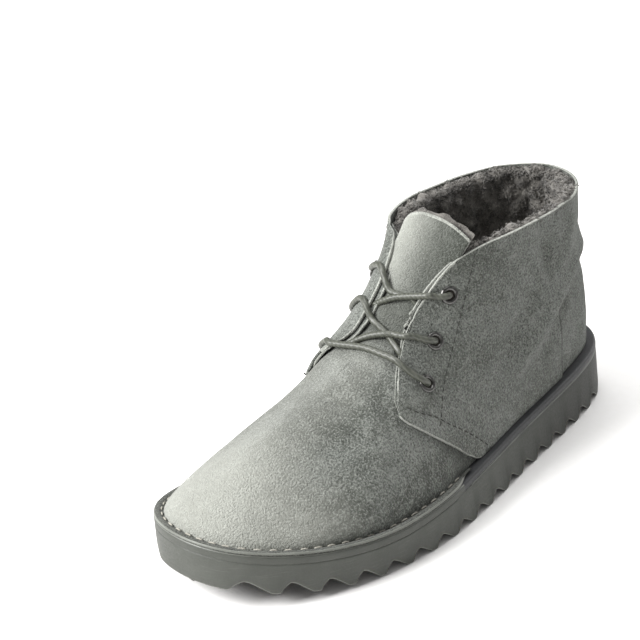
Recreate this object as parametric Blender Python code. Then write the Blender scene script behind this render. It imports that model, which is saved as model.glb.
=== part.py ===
"""A left desert boot: ripple wedge sole, stitched-down upper, tongue, insole, eyelets and laces.

The toe points along -Y, the heel along +Y, the lateral (outer) side of the foot is +X.
Sizes are in millimetres and are turned to metres where a mesh is made.
"""
import math
from collections import namedtuple

import bmesh
import bpy
from mathutils import Vector

MM = 0.001
GAP = 0.3                    # clearance between two pieces that touch on the real boot

# ---------------------------------------------------------------- driving sizes
SOLE_LENGTH = 288.5
SOLE_CENTRE = -5.75          # Y of the middle of the sole; the joint of vamp and quarters is near Y 0
HEEL_THICKNESS = 26.0        # outsole under the heel, from the floor to its upper face
WAIST_THICKNESS = 19.0
BALL_THICKNESS = 15.5
TOE_THICKNESS = 15.5
TOE_SPRING = 11.5            # the toe tip's height above the floor
SPRING_START = -62.0         # the sole touches the floor behind this Y
LUG_PITCH = 15.55
LUG_DEPTH = 5.6
LUG_FLAT = 3.4               # width of the flat tip of one ripple
FIRST_NOTCH = -141.0         # Y of the foremost notch
LUG_COUNT = 18
MIDSOLE_THICKNESS = 4.0
SHELF = 4.6                  # how far the sole stands out past the upper
FLANGE_THICKNESS = 1.5       # the vamp's edge, turned out on to the midsole
FLANGE_WIDTH = 3.9
INSOLE_THICKNESS = 4.0
RIDGE_X = 0.0                # the crown of the vamp
EYELET_RADIUS = 4.5
EYELET_HOLE = 2.5
EYELET_THICKNESS = 1.2
LACE_RADIUS = 1.8
COLUMNS_PER_ROW = 3          # mesh columns between two rows of the upper's tables
HEIGHT_STEPS = 12            # mesh rows from the sole to the top edge
CROWN_FADE = 2.5             # rows over which the crown's slope fades into the throat

# ---------------------------------------------------------------- tables
# Sole outline. The angle runs from the heel's back (0) to the toe's tip (180), and the
# point's Y is half the length times its cosine. Widths are measured out from the centre line.
# The flare is how far the foot of the sole's side wall stands out past its upper edge.
Outline = namedtuple("Outline", "angle lateral medial flare")
OUTLINE = [
    Outline(0, -1.5, 1.5, 0.8),
    Outline(15, 17.0, 19.5, 1.0),
    Outline(30, 30.5, 31.0, 1.4),
    Outline(45, 37.5, 34.0, 1.8),
    Outline(60, 42.0, 30.5, 2.2),
    Outline(75, 46.5, 27.3, 2.8),
    Outline(90, 52.5, 33.5, 3.0),
    Outline(105, 57.6, 44.9, 1.6),
    Outline(120, 55.5, 50.7, 0.0),
    Outline(135, 46.2, 49.9, 0.0),
    Outline(150, 32.5, 42.3, 0.0),
    Outline(165, 16.2, 26.4, 0.0),
    Outline(180, -4.2, 4.2, 0.0),
]

# Thickness of the outsole along the foot.
Thickness = namedtuple("Thickness", "y size")
THICKNESS = [
    Thickness(137, HEEL_THICKNESS),
    Thickness(90, 23.2),
    Thickness(10, WAIST_THICKNESS),
    Thickness(-70, BALL_THICKNESS),
    Thickness(-150, TOE_THICKNESS),
]

# Crown line of the vamp and tongue, seen from the side.
Crown = namedtuple("Crown", "y z")
CROWN = [
    Crown(-116, 49.5),
    Crown(-107, 53.6),
    Crown(-92, 59.0),
    Crown(-75, 63.2),
    Crown(-58, 67.9),
    Crown(-40, 74.0),
]

# The upper, one row for each section from the heel round to the toe. The angle places its foot
# on the sole outline; top_x (out from the centre line), top_y and top_z are its upper end on the
# collar, the facing or the crown. rise and lean set how it leaves the sole, out and drop how it
# reaches the top, wall is its thickness with the fleece.
Section = namedtuple("Section", "angle top_x top_y top_z rise lean out drop wall")
LATERAL = [
    Section(0, -1.0, 124.2, 121.5, 28, 3.2, -0.5, 30, 6.5),
    Section(16, 12.7, 120.6, 121.2, 28, 3.0, -0.8, 30, 6.5),
    Section(32, 24.2, 110.8, 120.6, 27, 2.2, -1.5, 30, 6.5),
    Section(48, 32.0, 94, 120, 25, 0.5, -3, 30, 6.5),
    Section(62, 35.5, 70, 120, 25, 1.0, -2, 30, 6.5),
    Section(71, 34.5, 46, 119.5, 21, 0.0, -1, 30, 6.5),
    Section(80.5, 29.5, 24, 117.5, 17, -1.0, 1, 30, 6.0),
    Section(87.5, 23.0, 9, 112, 14, -1.5, 3, 28, 5.0),
    Section(94.7, 18.0, -3, 102, 13, -1.5, 5, 25, 4.0),
    Section(102, 16.5, -14, 91, 13, -0.6, 7.5, 19, 3.8),
    Section(109.3, 17.3, -25, 80.6, 13.5, 0.0, 11, 12, 3.8),
    Section(115.2, 14.6, -33.4, 75.4, 13.2, 0.5, 15.5, 6.5, 3.8),
    Section(120.3, 8.0, -38.4, 73.7, 12.8, 0.7, 22.5, 2.6, 4.0),
    Section(125.2, RIDGE_X, -40, 74.0, 12.4, 0.9, 31.5, 0, 4.2),
]
MEDIAL = [
    Section(16, 12.7, 120.6, 121.2, 28, 3.0, -0.8, 30, 6.5),
    Section(32, 24.2, 110.8, 120.8, 27, 2.4, -1.5, 30, 6.5),
    Section(48, 31.5, 94, 120.2, 26, 2.5, -2, 30, 6.5),
    Section(62, 34.5, 70, 120.5, 25, 5.0, -1, 30, 6.5),
    Section(71, 33.5, 46, 121, 22, 6.0, 0, 30, 6.5),
    Section(80.5, 28.5, 26, 119.5, 19, 4.0, 1, 30, 6.0),
    Section(87.5, 22.5, 11, 113.5, 16, 1.5, 3, 28, 5.0),
    Section(94.7, 18.5, -1, 104, 14, 0.0, 5, 25, 4.0),
    Section(102, 18.0, -13, 92, 13.5, 0.0, 7, 19, 3.8),
    Section(109.3, 18.7, -25, 80.6, 13.5, 0.4, 10.5, 12, 3.8),
    Section(115.2, 15.4, -33.5, 75.2, 13.2, 0.6, 15, 6.5, 3.8),
    Section(120.3, 8.6, -38.4, 73.6, 12.8, 0.7, 22, 2.6, 4.0),
    Section(125.2, -RIDGE_X, -40, 74.0, 12.4, 0.9, 31.5, 0, 4.2),
]
# The vamp, where both sides meet on the crown: its rows serve both sides.
VAMP = [
    Section(131.0, RIDGE_X, -46, 0, 11.6, 0.9, 29, 0, 4.3),
    Section(138.5, RIDGE_X, -57, 0, 10.2, 0.8, 24, 0, 4.4),
    Section(147.5, RIDGE_X, -72, 0, 8.4, 0.7, 18.5, 0, 4.4),
    Section(157.5, RIDGE_X, -89, 0, 7.2, 0.6, 14, 0, 4.4),
    Section(168.5, RIDGE_X, -105, 0, 6.2, 0.6, 10.5, 0, 4.4),
    Section(180, RIDGE_X, -114.5, 0, 6.0, 0.8, 9, 0, 4.4),
]

# Tongue: the line of its outer face on the crown, its half width and how far its sides fall.
Tongue = namedtuple("Tongue", "y z half_width fall")
TONGUE = [
    Tongue(-37.3, 74.3, 7.6, 0.5),
    Tongue(-30.0, 77.6, 13.2, 1.8),
    Tongue(-18.0, 85.0, 13.4, 2.6),
    Tongue(-8.0, 95.0, 12.8, 2.8),
    Tongue(2.0, 108.0, 14.8, 4.2),
    Tongue(11.5, 120.0, 18.6, 6.6),
    Tongue(19.5, 129.5, 20.5, 7.5),
]
TONGUE_THICKNESS = 4.6
TONGUE_TOP_X = 1.5           # the tongue leans to the lateral side

# Eyelets on both facings: the row number counted from the heel, and how far up the section.
Eyelet = namedtuple("Eyelet", "name row up")
EYELETS = [
    Eyelet("bottom", 8.9, 0.62),
    Eyelet("middle", 8.1, 0.74),
    Eyelet("top", 7.2, 0.86),
]

# Lace arms over the throat. Each runs from an eyelet over its own facing edge (a row number) and
# dives under the other facing (another row number), raised above the tongue by the lift.
Arm = namedtuple("Arm", "eyelet edge dive lift")
ARMS = {
    "middle": Arm("middle", 9.0, 9.45, 0.8),
    "top": Arm("top", 8.0, 8.8, 0.8),
}
BAR_EDGE = 10.15             # row where the bottom bar passes over both facing edges
BAR_LIFT = 1.6
LACE_LIFT = 2.0              # how far a lace clears the upper

# ---------------------------------------------------------------- curves and surfaces


def hermite(before, start, end, after, part):
    """Catmull-Rom curve between start and end."""
    return 0.5 * (2 * start + (end - before) * part
                  + (2 * before - 5 * start + 4 * end - after) * part ** 2
                  + (3 * start - before - 3 * end + after) * part ** 3)


def along(values, place):
    """A smooth curve through equally spaced values, read at a place counted in steps."""
    last = len(values) - 1
    step = min(max(int(place), 0), last - 1)
    before = values[step - 1] if step > 0 else 2 * values[0] - values[1]
    after = values[step + 2] if step + 2 <= last else 2 * values[last] - values[last - 1]
    return hermite(before, values[step], values[step + 1], after, place - step)


def by_key(rows, key, value, at):
    """A smooth curve through (key, value) columns of a table whose keys rise or fall."""
    keys = [getattr(row, key) for row in rows]
    values = [getattr(row, value) for row in rows]
    if keys[0] > keys[-1]:
        keys.reverse()
        values.reverse()
    at = min(max(at, keys[0]), keys[-1])
    step = max(i for i in range(len(keys) - 1) if keys[i] <= at)
    slopes = []
    for i in (step, step + 1):
        low, high = max(i - 1, 0), min(i + 1, len(keys) - 1)
        slopes.append((values[high] - values[low]) / (keys[high] - keys[low]))
    span = keys[step + 1] - keys[step]
    t = (at - keys[step]) / span
    return ((2 * t ** 3 - 3 * t ** 2 + 1) * values[step] + (t ** 3 - 2 * t ** 2 + t) * span * slopes[0]
            + (3 * t ** 2 - 2 * t ** 3) * values[step + 1] + (t ** 3 - t ** 2) * span * slopes[1])


def toe_end():
    return SOLE_CENTRE - SOLE_LENGTH / 2


def heel_end():
    return SOLE_CENTRE + SOLE_LENGTH / 2


def floor_line(y):
    """Height of the ripples' tips: on the floor, then lifted under the toes."""
    lift = max(0.0, SPRING_START - y) / (SPRING_START - toe_end())
    return TOE_SPRING * lift ** 2


def outsole_top(y):
    return floor_line(y) + by_key(THICKNESS, "y", "size", y)


def midsole_top(y):
    return outsole_top(y) + MIDSOLE_THICKNESS


def outline_point(angle):
    """Sole outline: 0 at the heel, 180 at the toe, lateral side below 180, medial above."""
    lateral = angle <= 180
    turn = angle if lateral else 360 - angle
    width = by_key(OUTLINE, "angle", "lateral" if lateral else "medial", turn)
    x = width if lateral else -width
    return Vector((x, SOLE_CENTRE + SOLE_LENGTH / 2 * math.cos(math.radians(turn))))


def inset_point(angle, margin):
    """The outline moved inwards by a margin."""
    ahead = outline_point((angle + 1.5) % 360)
    behind = outline_point((angle - 1.5) % 360)
    run = (behind - ahead).normalized()
    return outline_point(angle) + Vector((-run.y, run.x)) * margin


def sole_middle():
    """The origin: the middle of the sole's box, flare and all, on the floor."""
    foot = []
    for angle in range(360):
        flare = by_key(OUTLINE, "angle", "flare", min(angle, 360 - angle))
        foot.append(inset_point(angle, -flare))
    xs, ys = [point.x for point in foot], [point.y for point in foot]
    return Vector(((min(xs) + max(xs)) / 2, (min(ys) + max(ys)) / 2, 0.0))


def crown_height(y):
    return by_key(CROWN, "y", "z", y)


def crown_slope(y):
    """How fast the crown climbs towards the ankle."""
    y = min(y, CROWN[-1].y)
    return crown_height(y) - crown_height(y - 1)


def closed_rows():
    """All sections round the boot: heel, lateral side, toe, medial side, with signed X."""
    vamp = [row._replace(top_z=crown_height(row.top_y)) for row in VAMP]
    rows = list(LATERAL) + vamp
    for row in reversed(vamp[:-1]):
        rows.append(row._replace(angle=360 - row.angle))
    for row in reversed(MEDIAL):
        rows.append(row._replace(angle=360 - row.angle, top_x=-row.top_x))
    return rows


ROWS = closed_rows()
CROWN_FIRST = len(LATERAL) - 1                    # row number of the first crown section
CROWN_LAST = CROWN_FIRST + 2 * len(VAMP)          # and its twin on the medial side


def row_value(name, place):
    count = len(ROWS)
    step = int(math.floor(place))
    pick = [getattr(ROWS[(step + shift) % count], name) for shift in (-1, 0, 1, 2)]
    if name == "angle":
        pick = [pick[0] - 360 * (pick[0] > pick[1] + 180), pick[1],
                pick[2] + 360 * (pick[2] < pick[1] - 180), pick[3] + 360 * (pick[3] < pick[1] - 180)]
    return hermite(*pick, place - step)


def on_crown(place):
    return CROWN_FIRST <= place <= CROWN_LAST


def row_on_side(row, side):
    """Row number on a side: lateral rows count up from the heel, medial rows count down."""
    return row if side > 0 else len(ROWS) - row


def crown_share(place):
    """1 where a section ends on the crown, fading to 0 two rows into the throat."""
    beyond = max(CROWN_FIRST - place, place - CROWN_LAST, 0.0)
    return max(0.0, 1 - beyond / CROWN_FADE) ** 2


def section_point(place, up):
    """Outer face of the upper: place is counted in rows round the boot, up runs from 0 to 1."""
    foot = inset_point(row_value("angle", place) % 360, SHELF)
    foot = Vector((foot.x, foot.y, midsole_top(foot.y) + GAP))
    top = Vector((row_value("top_x", place), row_value("top_y", place), row_value("top_z", place)))
    out, drop = row_value("out", place), row_value("drop", place)
    if on_crown(place):
        top = Vector((RIDGE_X, top.y, crown_height(top.y)))
    slope = crown_share(place) * crown_slope(top.y)
    away = Vector((foot.x - top.x, foot.y - top.y, 0.0)).normalized()
    centre = Vector((0.0, min(max(foot.y, -95.0), 90.0)))
    outward = Vector((foot.x - centre.x, foot.y - centre.y, 0.0)).normalized()
    low = foot + outward * row_value("lean", place) + Vector((0, 0, row_value("rise", place)))
    high = top + away * out - Vector((0, 0, drop + out * max(0.0, -away.y) * slope))
    keep = 1 - up
    return foot * keep ** 3 + low * 3 * keep ** 2 * up + high * 3 * keep * up ** 2 + top * up ** 3


def section_normal(place, up):
    """Unit normal that points out of the boot."""
    step, rise = 0.05, 0.02
    if on_crown(place) and up > 1 - rise:
        twin = (CROWN_FIRST + CROWN_LAST) - place
        across = section_point(place, 1 - rise) - section_point(twin, 1 - rise)
        if place > twin:
            across.negate()
        forward = Vector((0, -1, -crown_slope(section_point(place, 1).y)))
        if across.length < 1.0:
            across = Vector((1, 0, 0))
        normal = across.cross(forward)
        return -normal.normalized() if normal.z < 0 else normal.normalized()
    low, high = max(up - rise, 0.0), min(up + rise, 1.0)
    climb = section_point(place, high) - section_point(place, low)
    around = section_point(place + step, up) - section_point(place - step, up)
    return climb.cross(around).normalized()

# ---------------------------------------------------------------- mesh helpers


def material(name, colour, roughness, metallic=0.0):
    finish = bpy.data.materials.new(name)
    finish.use_nodes = True
    shader = finish.node_tree.nodes["Principled BSDF"]
    shader.inputs["Base Color"].default_value = (*colour, 1.0)
    shader.inputs["Roughness"].default_value = roughness
    shader.inputs["Metallic"].default_value = metallic
    return finish


def add_object(name, points, faces, finish, smooth_angle=40.0):
    """A mesh object from points in millimetres, with its faces turned outwards."""
    mesh = bpy.data.meshes.new(name)
    origin = sole_middle()
    mesh.from_pydata([tuple((Vector(point) - origin) * MM) for point in points], [], faces)
    work = bmesh.new()
    work.from_mesh(mesh)
    bmesh.ops.remove_doubles(work, verts=work.verts, dist=1e-6)
    bmesh.ops.recalc_face_normals(work, faces=work.faces)
    work.to_mesh(mesh)
    work.free()
    mesh.materials.append(finish)
    mesh.shade_smooth()
    mesh.set_sharp_from_angle(angle=math.radians(smooth_angle))
    thing = bpy.data.objects.new(name, mesh)
    bpy.context.scene.collection.objects.link(thing)
    return thing


def prism(name, ring, other_ring, finish):
    """A closed body between two equal rings of points."""
    count = len(ring)
    points = [Vector(point) for point in ring] + [Vector(point) for point in other_ring]
    faces = [list(range(count)), list(range(count, 2 * count))]
    faces += [[i, (i + 1) % count, count + (i + 1) % count, count + i] for i in range(count)]
    return add_object(name, points, faces, finish)


def across_foot(name, ring, finish):
    """A prism right across the foot, from a ring given as (y, z) pairs."""
    medial = [(-90.0, y, z) for y, z in ring]
    lateral = [(90.0, y, z) for y, z in ring]
    return prism(name, medial, lateral, finish)


def cut_to_outline(thing, margin, flared=False):
    """Keep what lies inside the sole outline moved inwards by a margin; a flared wall leans out."""
    steps = 96
    low, high = [], []
    for i in range(steps):
        angle = 360.0 * i / steps
        flare = by_key(OUTLINE, "angle", "flare", min(angle, 360 - angle)) if flared else 0.0
        point = inset_point(angle, margin - flare * (HEEL_THICKNESS + 20) / HEEL_THICKNESS)
        low.append((point.x, point.y, -20.0))
        point = inset_point(angle, margin + flare * (60 - HEEL_THICKNESS) / HEEL_THICKNESS)
        high.append((point.x, point.y, 60.0))
    cutter = prism(thing.name + "_outline", low, high, thing.data.materials[0])
    cutter.hide_render = True
    cutter.display_type = "WIRE"
    cut = thing.modifiers.new("outline", "BOOLEAN")
    cut.operation = "INTERSECT"
    cut.object = cutter


def strip_solid(name, outer, inner, finish, closed=True):
    """A closed body between two equal grids of points, outer[column][row] and inner[column][row]."""
    columns, rows = len(outer), len(outer[0])
    points = [point for column in outer for point in column]
    points += [point for column in inner for point in column]
    inside = columns * rows

    def quad(a, b, row):
        return [a * rows + row, b * rows + row, b * rows + row + 1, a * rows + row + 1]

    faces = []
    pairs = [(i, (i + 1) % columns) for i in range(columns if closed else columns - 1)]
    for a, b in pairs:
        for row in range(rows - 1):
            faces.append(quad(a, b, row))
            faces.append([inside + index for index in reversed(quad(a, b, row))])
        for row in (0, rows - 1):
            faces.append([a * rows + row, b * rows + row, inside + b * rows + row, inside + a * rows + row])
    if not closed:
        for column in (0, columns - 1):
            for row in range(rows - 1):
                a = column * rows + row
                faces.append([a, a + 1, inside + a + 1, inside + a])
    return add_object(name, points, faces, finish)

# ---------------------------------------------------------------- sole


LENGTHWISE = [-160 + 10 * i for i in range(33)]


def side_ring(bottom, top):
    """Ring of (y, z) pairs: a bottom line from toe to heel, then a top function back again."""
    return bottom + [(y, top(y)) for y in reversed(LENGTHWISE)]


def ripple_line():
    """Bottom of the outsole from toe to heel: flat tips, steep fronts and long rear slopes."""
    points = [(-160.0, floor_line(toe_end()))]
    for number in range(LUG_COUNT):
        notch = FIRST_NOTCH + number * LUG_PITCH
        if notch > heel_end() - 8:
            break
        lift = floor_line(notch)
        points.append((notch - 0.25 * LUG_PITCH, floor_line(notch - 0.25 * LUG_PITCH)))
        points.append((notch - 0.16 * LUG_PITCH, lift + 0.62 * LUG_DEPTH))
        points.append((notch, lift + LUG_DEPTH))
        points.append((notch + 0.13 * LUG_PITCH, lift + 0.82 * LUG_DEPTH))
        tip = notch + 0.75 * LUG_PITCH - LUG_FLAT
        points.append((tip, floor_line(tip)))
    points.append((160.0, 0.0))
    return points


def make_outsole():
    rubber = material("grey_green_rubber", (0.075, 0.078, 0.065), 0.6)
    thing = across_foot("outsole", side_ring(ripple_line(), outsole_top), rubber)
    cut_to_outline(thing, 0.0, flared=True)


def make_midsole():
    rubber = material("dark_midsole_rubber", (0.03, 0.031, 0.028), 0.65)
    bottom = [(y, outsole_top(y) + GAP) for y in LENGTHWISE]
    thing = across_foot("midsole", side_ring(bottom, midsole_top), rubber)
    cut_to_outline(thing, 0.0)


def make_insole():
    fleece = material("charcoal_fleece", (0.03, 0.028, 0.026), 0.95)
    bottom = [(y, midsole_top(y) + GAP) for y in LENGTHWISE]
    ring = side_ring(bottom, lambda y: midsole_top(y) + GAP + INSOLE_THICKNESS)
    thing = across_foot("insole", ring, fleece)
    cut_to_outline(thing, SHELF + 8.2)


def make_flange():
    """The vamp's edge, turned out and stitched down, from seam to seam round the toe."""
    suede = material("suede_edge", (0.13, 0.135, 0.115), 0.9)
    outer, inner = [], []
    first, last, steps = 94.0, 266.0, 60
    for i in range(steps + 1):
        angle = first + (last - first) * i / steps
        near, far = inset_point(angle, SHELF - GAP), inset_point(angle, SHELF - GAP - FLANGE_WIDTH)
        outer.append([(p.x, p.y, midsole_top(p.y) + GAP + FLANGE_THICKNESS) for p in (near, far)])
        inner.append([(p.x, p.y, midsole_top(p.y) + GAP) for p in (near, far)])
    return strip_solid("vamp_flange", outer, inner, suede, closed=False)

# ---------------------------------------------------------------- upper and tongue


def make_upper():
    suede = material("olive_grey_suede", (0.12, 0.125, 0.105), 0.92)
    count = len(ROWS) * COLUMNS_PER_ROW
    points, faces, outer, inner = [], [], [], []
    for column in range(count):
        place = column / COLUMNS_PER_ROW
        wall = row_value("wall", place)
        outer_column, inner_column = [], []
        for row in range(HEIGHT_STEPS + 1):
            up = row / HEIGHT_STEPS
            point = section_point(place, up)
            normal = section_normal(place, up)
            if row == 0:
                normal.z = 0.0
                normal.normalize()
            outer_column.append(len(points))
            points.append(point)
            inner_column.append(len(points))
            points.append(point - normal * wall)
        outer.append(outer_column)
        inner.append(inner_column)
    top = HEIGHT_STEPS
    for column in range(count):
        if on_crown(column / COLUMNS_PER_ROW):
            twin = round((CROWN_FIRST + CROWN_LAST) * COLUMNS_PER_ROW - column)
            if twin < column:
                outer[column][top] = outer[twin][top]
                inner[column][top] = inner[twin][top]
    for column in range(count):
        after = (column + 1) % count
        for row in range(HEIGHT_STEPS):
            for grid in (outer, inner):
                face = [grid[column][row], grid[after][row], grid[after][row + 1], grid[column][row + 1]]
                faces.append(list(dict.fromkeys(face)))
        faces.append([outer[column][0], outer[after][0], inner[after][0], inner[column][0]])
        middle = (column + 0.5) / COLUMNS_PER_ROW
        if not on_crown(middle):
            faces.append([outer[column][top], outer[after][top], inner[after][top], inner[column][top]])
    used = sorted({index for face in faces for index in face})
    renumber = {index: i for i, index in enumerate(used)}
    faces = [[renumber[index] for index in face] for face in faces]
    return add_object("upper", [points[index] for index in used], faces, suede, 60.0)


def make_tongue():
    suede = material("tongue_suede", (0.13, 0.135, 0.115), 0.92)
    across = 8
    length_steps = 18
    outer, inner = [], []
    for i in range(length_steps + 1):
        place = i / length_steps * (len(TONGUE) - 1)
        y, z, half, fall = (along([getattr(row, name) for row in TONGUE], place)
                            for name in ("y", "z", "half_width", "fall"))
        ahead = along([row.y for row in TONGUE], place + 0.01) - along([row.y for row in TONGUE], place - 0.01)
        climb = along([row.z for row in TONGUE], place + 0.01) - along([row.z for row in TONGUE], place - 0.01)
        normal = Vector((0, -climb, ahead)).normalized()
        crown_x = RIDGE_X + (TONGUE_TOP_X - RIDGE_X) * i / length_steps
        face, back = [], []
        for j in range(across + 1):
            side = 2 * j / across - 1
            point = Vector((crown_x + half * side, y, z)) - normal * fall * side ** 2
            tilt = (normal + Vector((1.6 * fall / half * side, 0, 0))).normalized()
            face.append(point)
            back.append(point - tilt * TONGUE_THICKNESS)
        outer.append(face)
        inner.append(back)
    return strip_solid("tongue", outer, inner, suede, closed=False)

# ---------------------------------------------------------------- eyelets and laces


def eyelet_frame(place, up):
    """Centre and outward normal of an eyelet that lies on the upper's outer face."""
    normal = section_normal(place, up)
    return section_point(place, up) + normal * (EYELET_THICKNESS / 2 + 0.75), normal


def make_eyelet(eyelet, side, metal):
    centre, normal = eyelet_frame(row_on_side(eyelet.row, side), eyelet.up)
    turn = Vector((0, 0, 1)).rotation_difference(normal)
    steps = 16
    profile = [(EYELET_HOLE, -0.5), (EYELET_HOLE, 0.5), (EYELET_RADIUS - 0.9, 0.5), (EYELET_RADIUS, 0.0),
               (EYELET_RADIUS, -0.5)]
    points, faces = [], []
    for i in range(steps):
        angle = 2 * math.pi * i / steps
        for radius, height in profile:
            local = Vector((radius * math.cos(angle), radius * math.sin(angle), height * EYELET_THICKNESS))
            points.append(centre + turn @ local)
    size = len(profile)
    for i in range(steps):
        for j in range(size):
            a, b = i * size, (i + 1) % steps * size
            faces.append([a + j, b + j, b + (j + 1) % size, a + (j + 1) % size])
    name = "eyelet_%s_%s" % ("lateral" if side > 0 else "medial", eyelet.name)
    return add_object(name, points, faces, metal)


def make_eyelets():
    metal = material("gunmetal", (0.08, 0.08, 0.085), 0.3, 1.0)
    for eyelet in EYELETS:
        for side in (1, -1):
            make_eyelet(eyelet, side, metal)


def tongue_height(x, y):
    """Height of the tongue's outer face above a place."""
    half = by_key(TONGUE, "y", "half_width", y)
    fall = by_key(TONGUE, "y", "fall", y)
    return by_key(TONGUE, "y", "z", y) - fall * (min(abs(x), half) / half) ** 2


def over_tongue(x, y, lift):
    """A point on the middle line of a lace that clears the tongue's sloping face by a lift."""
    slope = tongue_height(x, y + 1) - tongue_height(x, y)
    return Vector((x, y, tongue_height(x, y) + (LACE_RADIUS + lift) * math.hypot(1, slope)))


def over_upper(row, up, side, lift):
    """A point on the middle line of a lace that clears the upper by a lift."""
    place = row_on_side(row, side)
    return section_point(place, up) + section_normal(place, min(up, 0.97)) * (LACE_RADIUS + lift)


def over_rim(row, side):
    """A point outside the corner between the upper's outer face and the cut edge of a facing."""
    place = row_on_side(row, side)
    rim = section_point(place, 1.0)
    climb = (rim - section_point(place, 0.95)).normalized()
    return rim + (section_normal(place, 0.97) + climb).normalized() * (LACE_RADIUS + LACE_LIFT)


def eyelet_to_edge(name, edge_row, side):
    """Three points from the rim of an eyelet, over the upper, to the facing's edge."""
    eyelet = next(item for item in EYELETS if item.name == name)
    edge = over_rim(edge_row, side)
    centre = over_upper(eyelet.row, eyelet.up, side, LACE_LIFT)
    start = centre + (edge - centre).normalized() * (EYELET_RADIUS + LACE_RADIUS + 0.6)
    share = 0.7
    row, up = (a + (b - a) * share for a, b in ((eyelet.row, edge_row), (eyelet.up, 1.0)))
    return [start, over_upper(row, up, side, LACE_LIFT), edge]


def arm_route(arm, side):
    """Route of one arm: eyelet, own facing edge, middle of the throat, dive under the other."""
    near = eyelet_to_edge(arm.eyelet, arm.edge, side)
    far = section_point(row_on_side(arm.dive, -side), 1.0)
    middle_y = (near[-1].y + far.y) / 2
    middle = over_tongue(0.0, middle_y, arm.lift)
    middle.z = max(middle.z, (near[-1].z + far.z) / 2)
    end = over_tongue(far.x * 0.6, far.y * 0.72 + middle_y * 0.28, arm.lift)
    return near + [middle, end]


def bar_route():
    """The straight bar over the vamp between the two bottom eyelets."""
    lateral, medial = (eyelet_to_edge("bottom", BAR_EDGE, side) for side in (1, -1))
    middle = over_tongue(0.0, (lateral[-1].y + medial[-1].y) / 2, BAR_LIFT)
    middle.z = max(middle.z, (lateral[-1].z + medial[-1].z) / 2)
    return lateral + [middle] + medial[::-1]


def tube(name, route, finish, sides=8, steps=4):
    """A closed tube round a smooth curve through the route's points."""
    path = []
    for i in range((len(route) - 1) * steps + 1):
        place = i / steps
        path.append(Vector([along([point[axis] for point in route], place) for axis in range(3)]))
    points, faces = [], []
    for i, point in enumerate(path):
        run = (path[min(i + 1, len(path) - 1)] - path[max(i - 1, 0)]).normalized()
        across = run.cross(Vector((0, 0, 1))).normalized()
        other = run.cross(across)
        for j in range(sides):
            angle = 2 * math.pi * j / sides
            points.append(point + (across * math.cos(angle) + other * math.sin(angle)) * LACE_RADIUS)
    for i in range(len(path) - 1):
        for j in range(sides):
            a, b = i * sides, (i + 1) * sides
            faces.append([a + j, a + (j + 1) % sides, b + (j + 1) % sides, b + j])
    faces.append(list(range(sides)))
    faces.append(list(range((len(path) - 1) * sides, len(path) * sides)))
    return add_object(name, points, faces, finish)


def make_laces():
    cord = material("waxed_cord", (0.11, 0.115, 0.09), 0.6)
    tube("lace_bar", bar_route(), cord)
    for name, arm in ARMS.items():
        cross = tube("lace_cross_" + name, arm_route(arm, 1), cord)
        other = tube("lace_arm_" + name, arm_route(arm, -1), cord)
        other.hide_render = True
        other.display_type = "WIRE"
        join = cross.modifiers.new("crossing", "BOOLEAN")
        join.operation = "UNION"
        join.object = other


def clear_objects():
    for thing in list(bpy.data.objects):
        bpy.data.objects.remove(thing, do_unlink=True)


def main():
    clear_objects()
    make_outsole()
    make_midsole()
    make_insole()
    make_flange()
    make_upper()
    make_tongue()
    make_eyelets()
    make_laces()


main()
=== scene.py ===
# %% [markdown]
# # A left desert boot with a fleece lining
# The boot is a soft suede upper, lined with fleece, on a thick wedge sole of rubber that is cut
# into ripples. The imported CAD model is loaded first: it fixes every size. Each step then builds
# one real piece over its CAD solid, with the thickness, seams and nap that the solid leaves out.

# %% Load the frame
import math
import random
from collections import namedtuple

import bmesh
import bpy
import numpy as np
from mathutils import Matrix, Vector, noise


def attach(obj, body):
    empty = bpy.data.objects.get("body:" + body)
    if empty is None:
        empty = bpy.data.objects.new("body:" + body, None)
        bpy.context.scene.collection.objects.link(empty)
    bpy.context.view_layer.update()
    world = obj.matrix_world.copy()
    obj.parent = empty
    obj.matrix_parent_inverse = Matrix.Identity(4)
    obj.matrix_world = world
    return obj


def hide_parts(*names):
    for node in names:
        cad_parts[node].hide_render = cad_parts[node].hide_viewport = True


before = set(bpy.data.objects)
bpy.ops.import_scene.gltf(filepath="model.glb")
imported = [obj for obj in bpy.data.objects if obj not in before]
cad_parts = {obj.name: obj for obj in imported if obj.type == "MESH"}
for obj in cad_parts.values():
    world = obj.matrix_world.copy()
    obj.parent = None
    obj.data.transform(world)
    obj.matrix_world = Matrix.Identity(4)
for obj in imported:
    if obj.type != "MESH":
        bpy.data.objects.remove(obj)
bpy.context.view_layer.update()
random.seed(7)
MM = 0.001

# %% [markdown]
# ## The last
# A shoemaker works over a last, a solid foot. It could be sculpted by hand, but a table of
# sections round the foot is easier to correct, and it is the one that the CAD model was made
# from. Each section is a curve from the sole's edge up to the collar, the facing or the crown of
# the vamp. All pieces of the upper are laid over this one surface, so they fit each other as
# leather does when it is pulled over a last.
# Sizes here are millimetres, and they turn to metres when a mesh is made.

# %% Sole outline
GAP = 0.3                        # clearance between the upper and the midsole
SOLE_LENGTH, SOLE_CENTRE = 288.5, -5.75
HEEL_Y, TOE_Y = SOLE_CENTRE + SOLE_LENGTH / 2, SOLE_CENTRE - SOLE_LENGTH / 2
HEEL_THICKNESS, MIDSOLE_THICKNESS = 26.0, 4.0
TOE_SPRING, SPRING_START = 11.5, -62.0
SHELF = 4.6                      # how far the sole stands out past the upper

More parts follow.
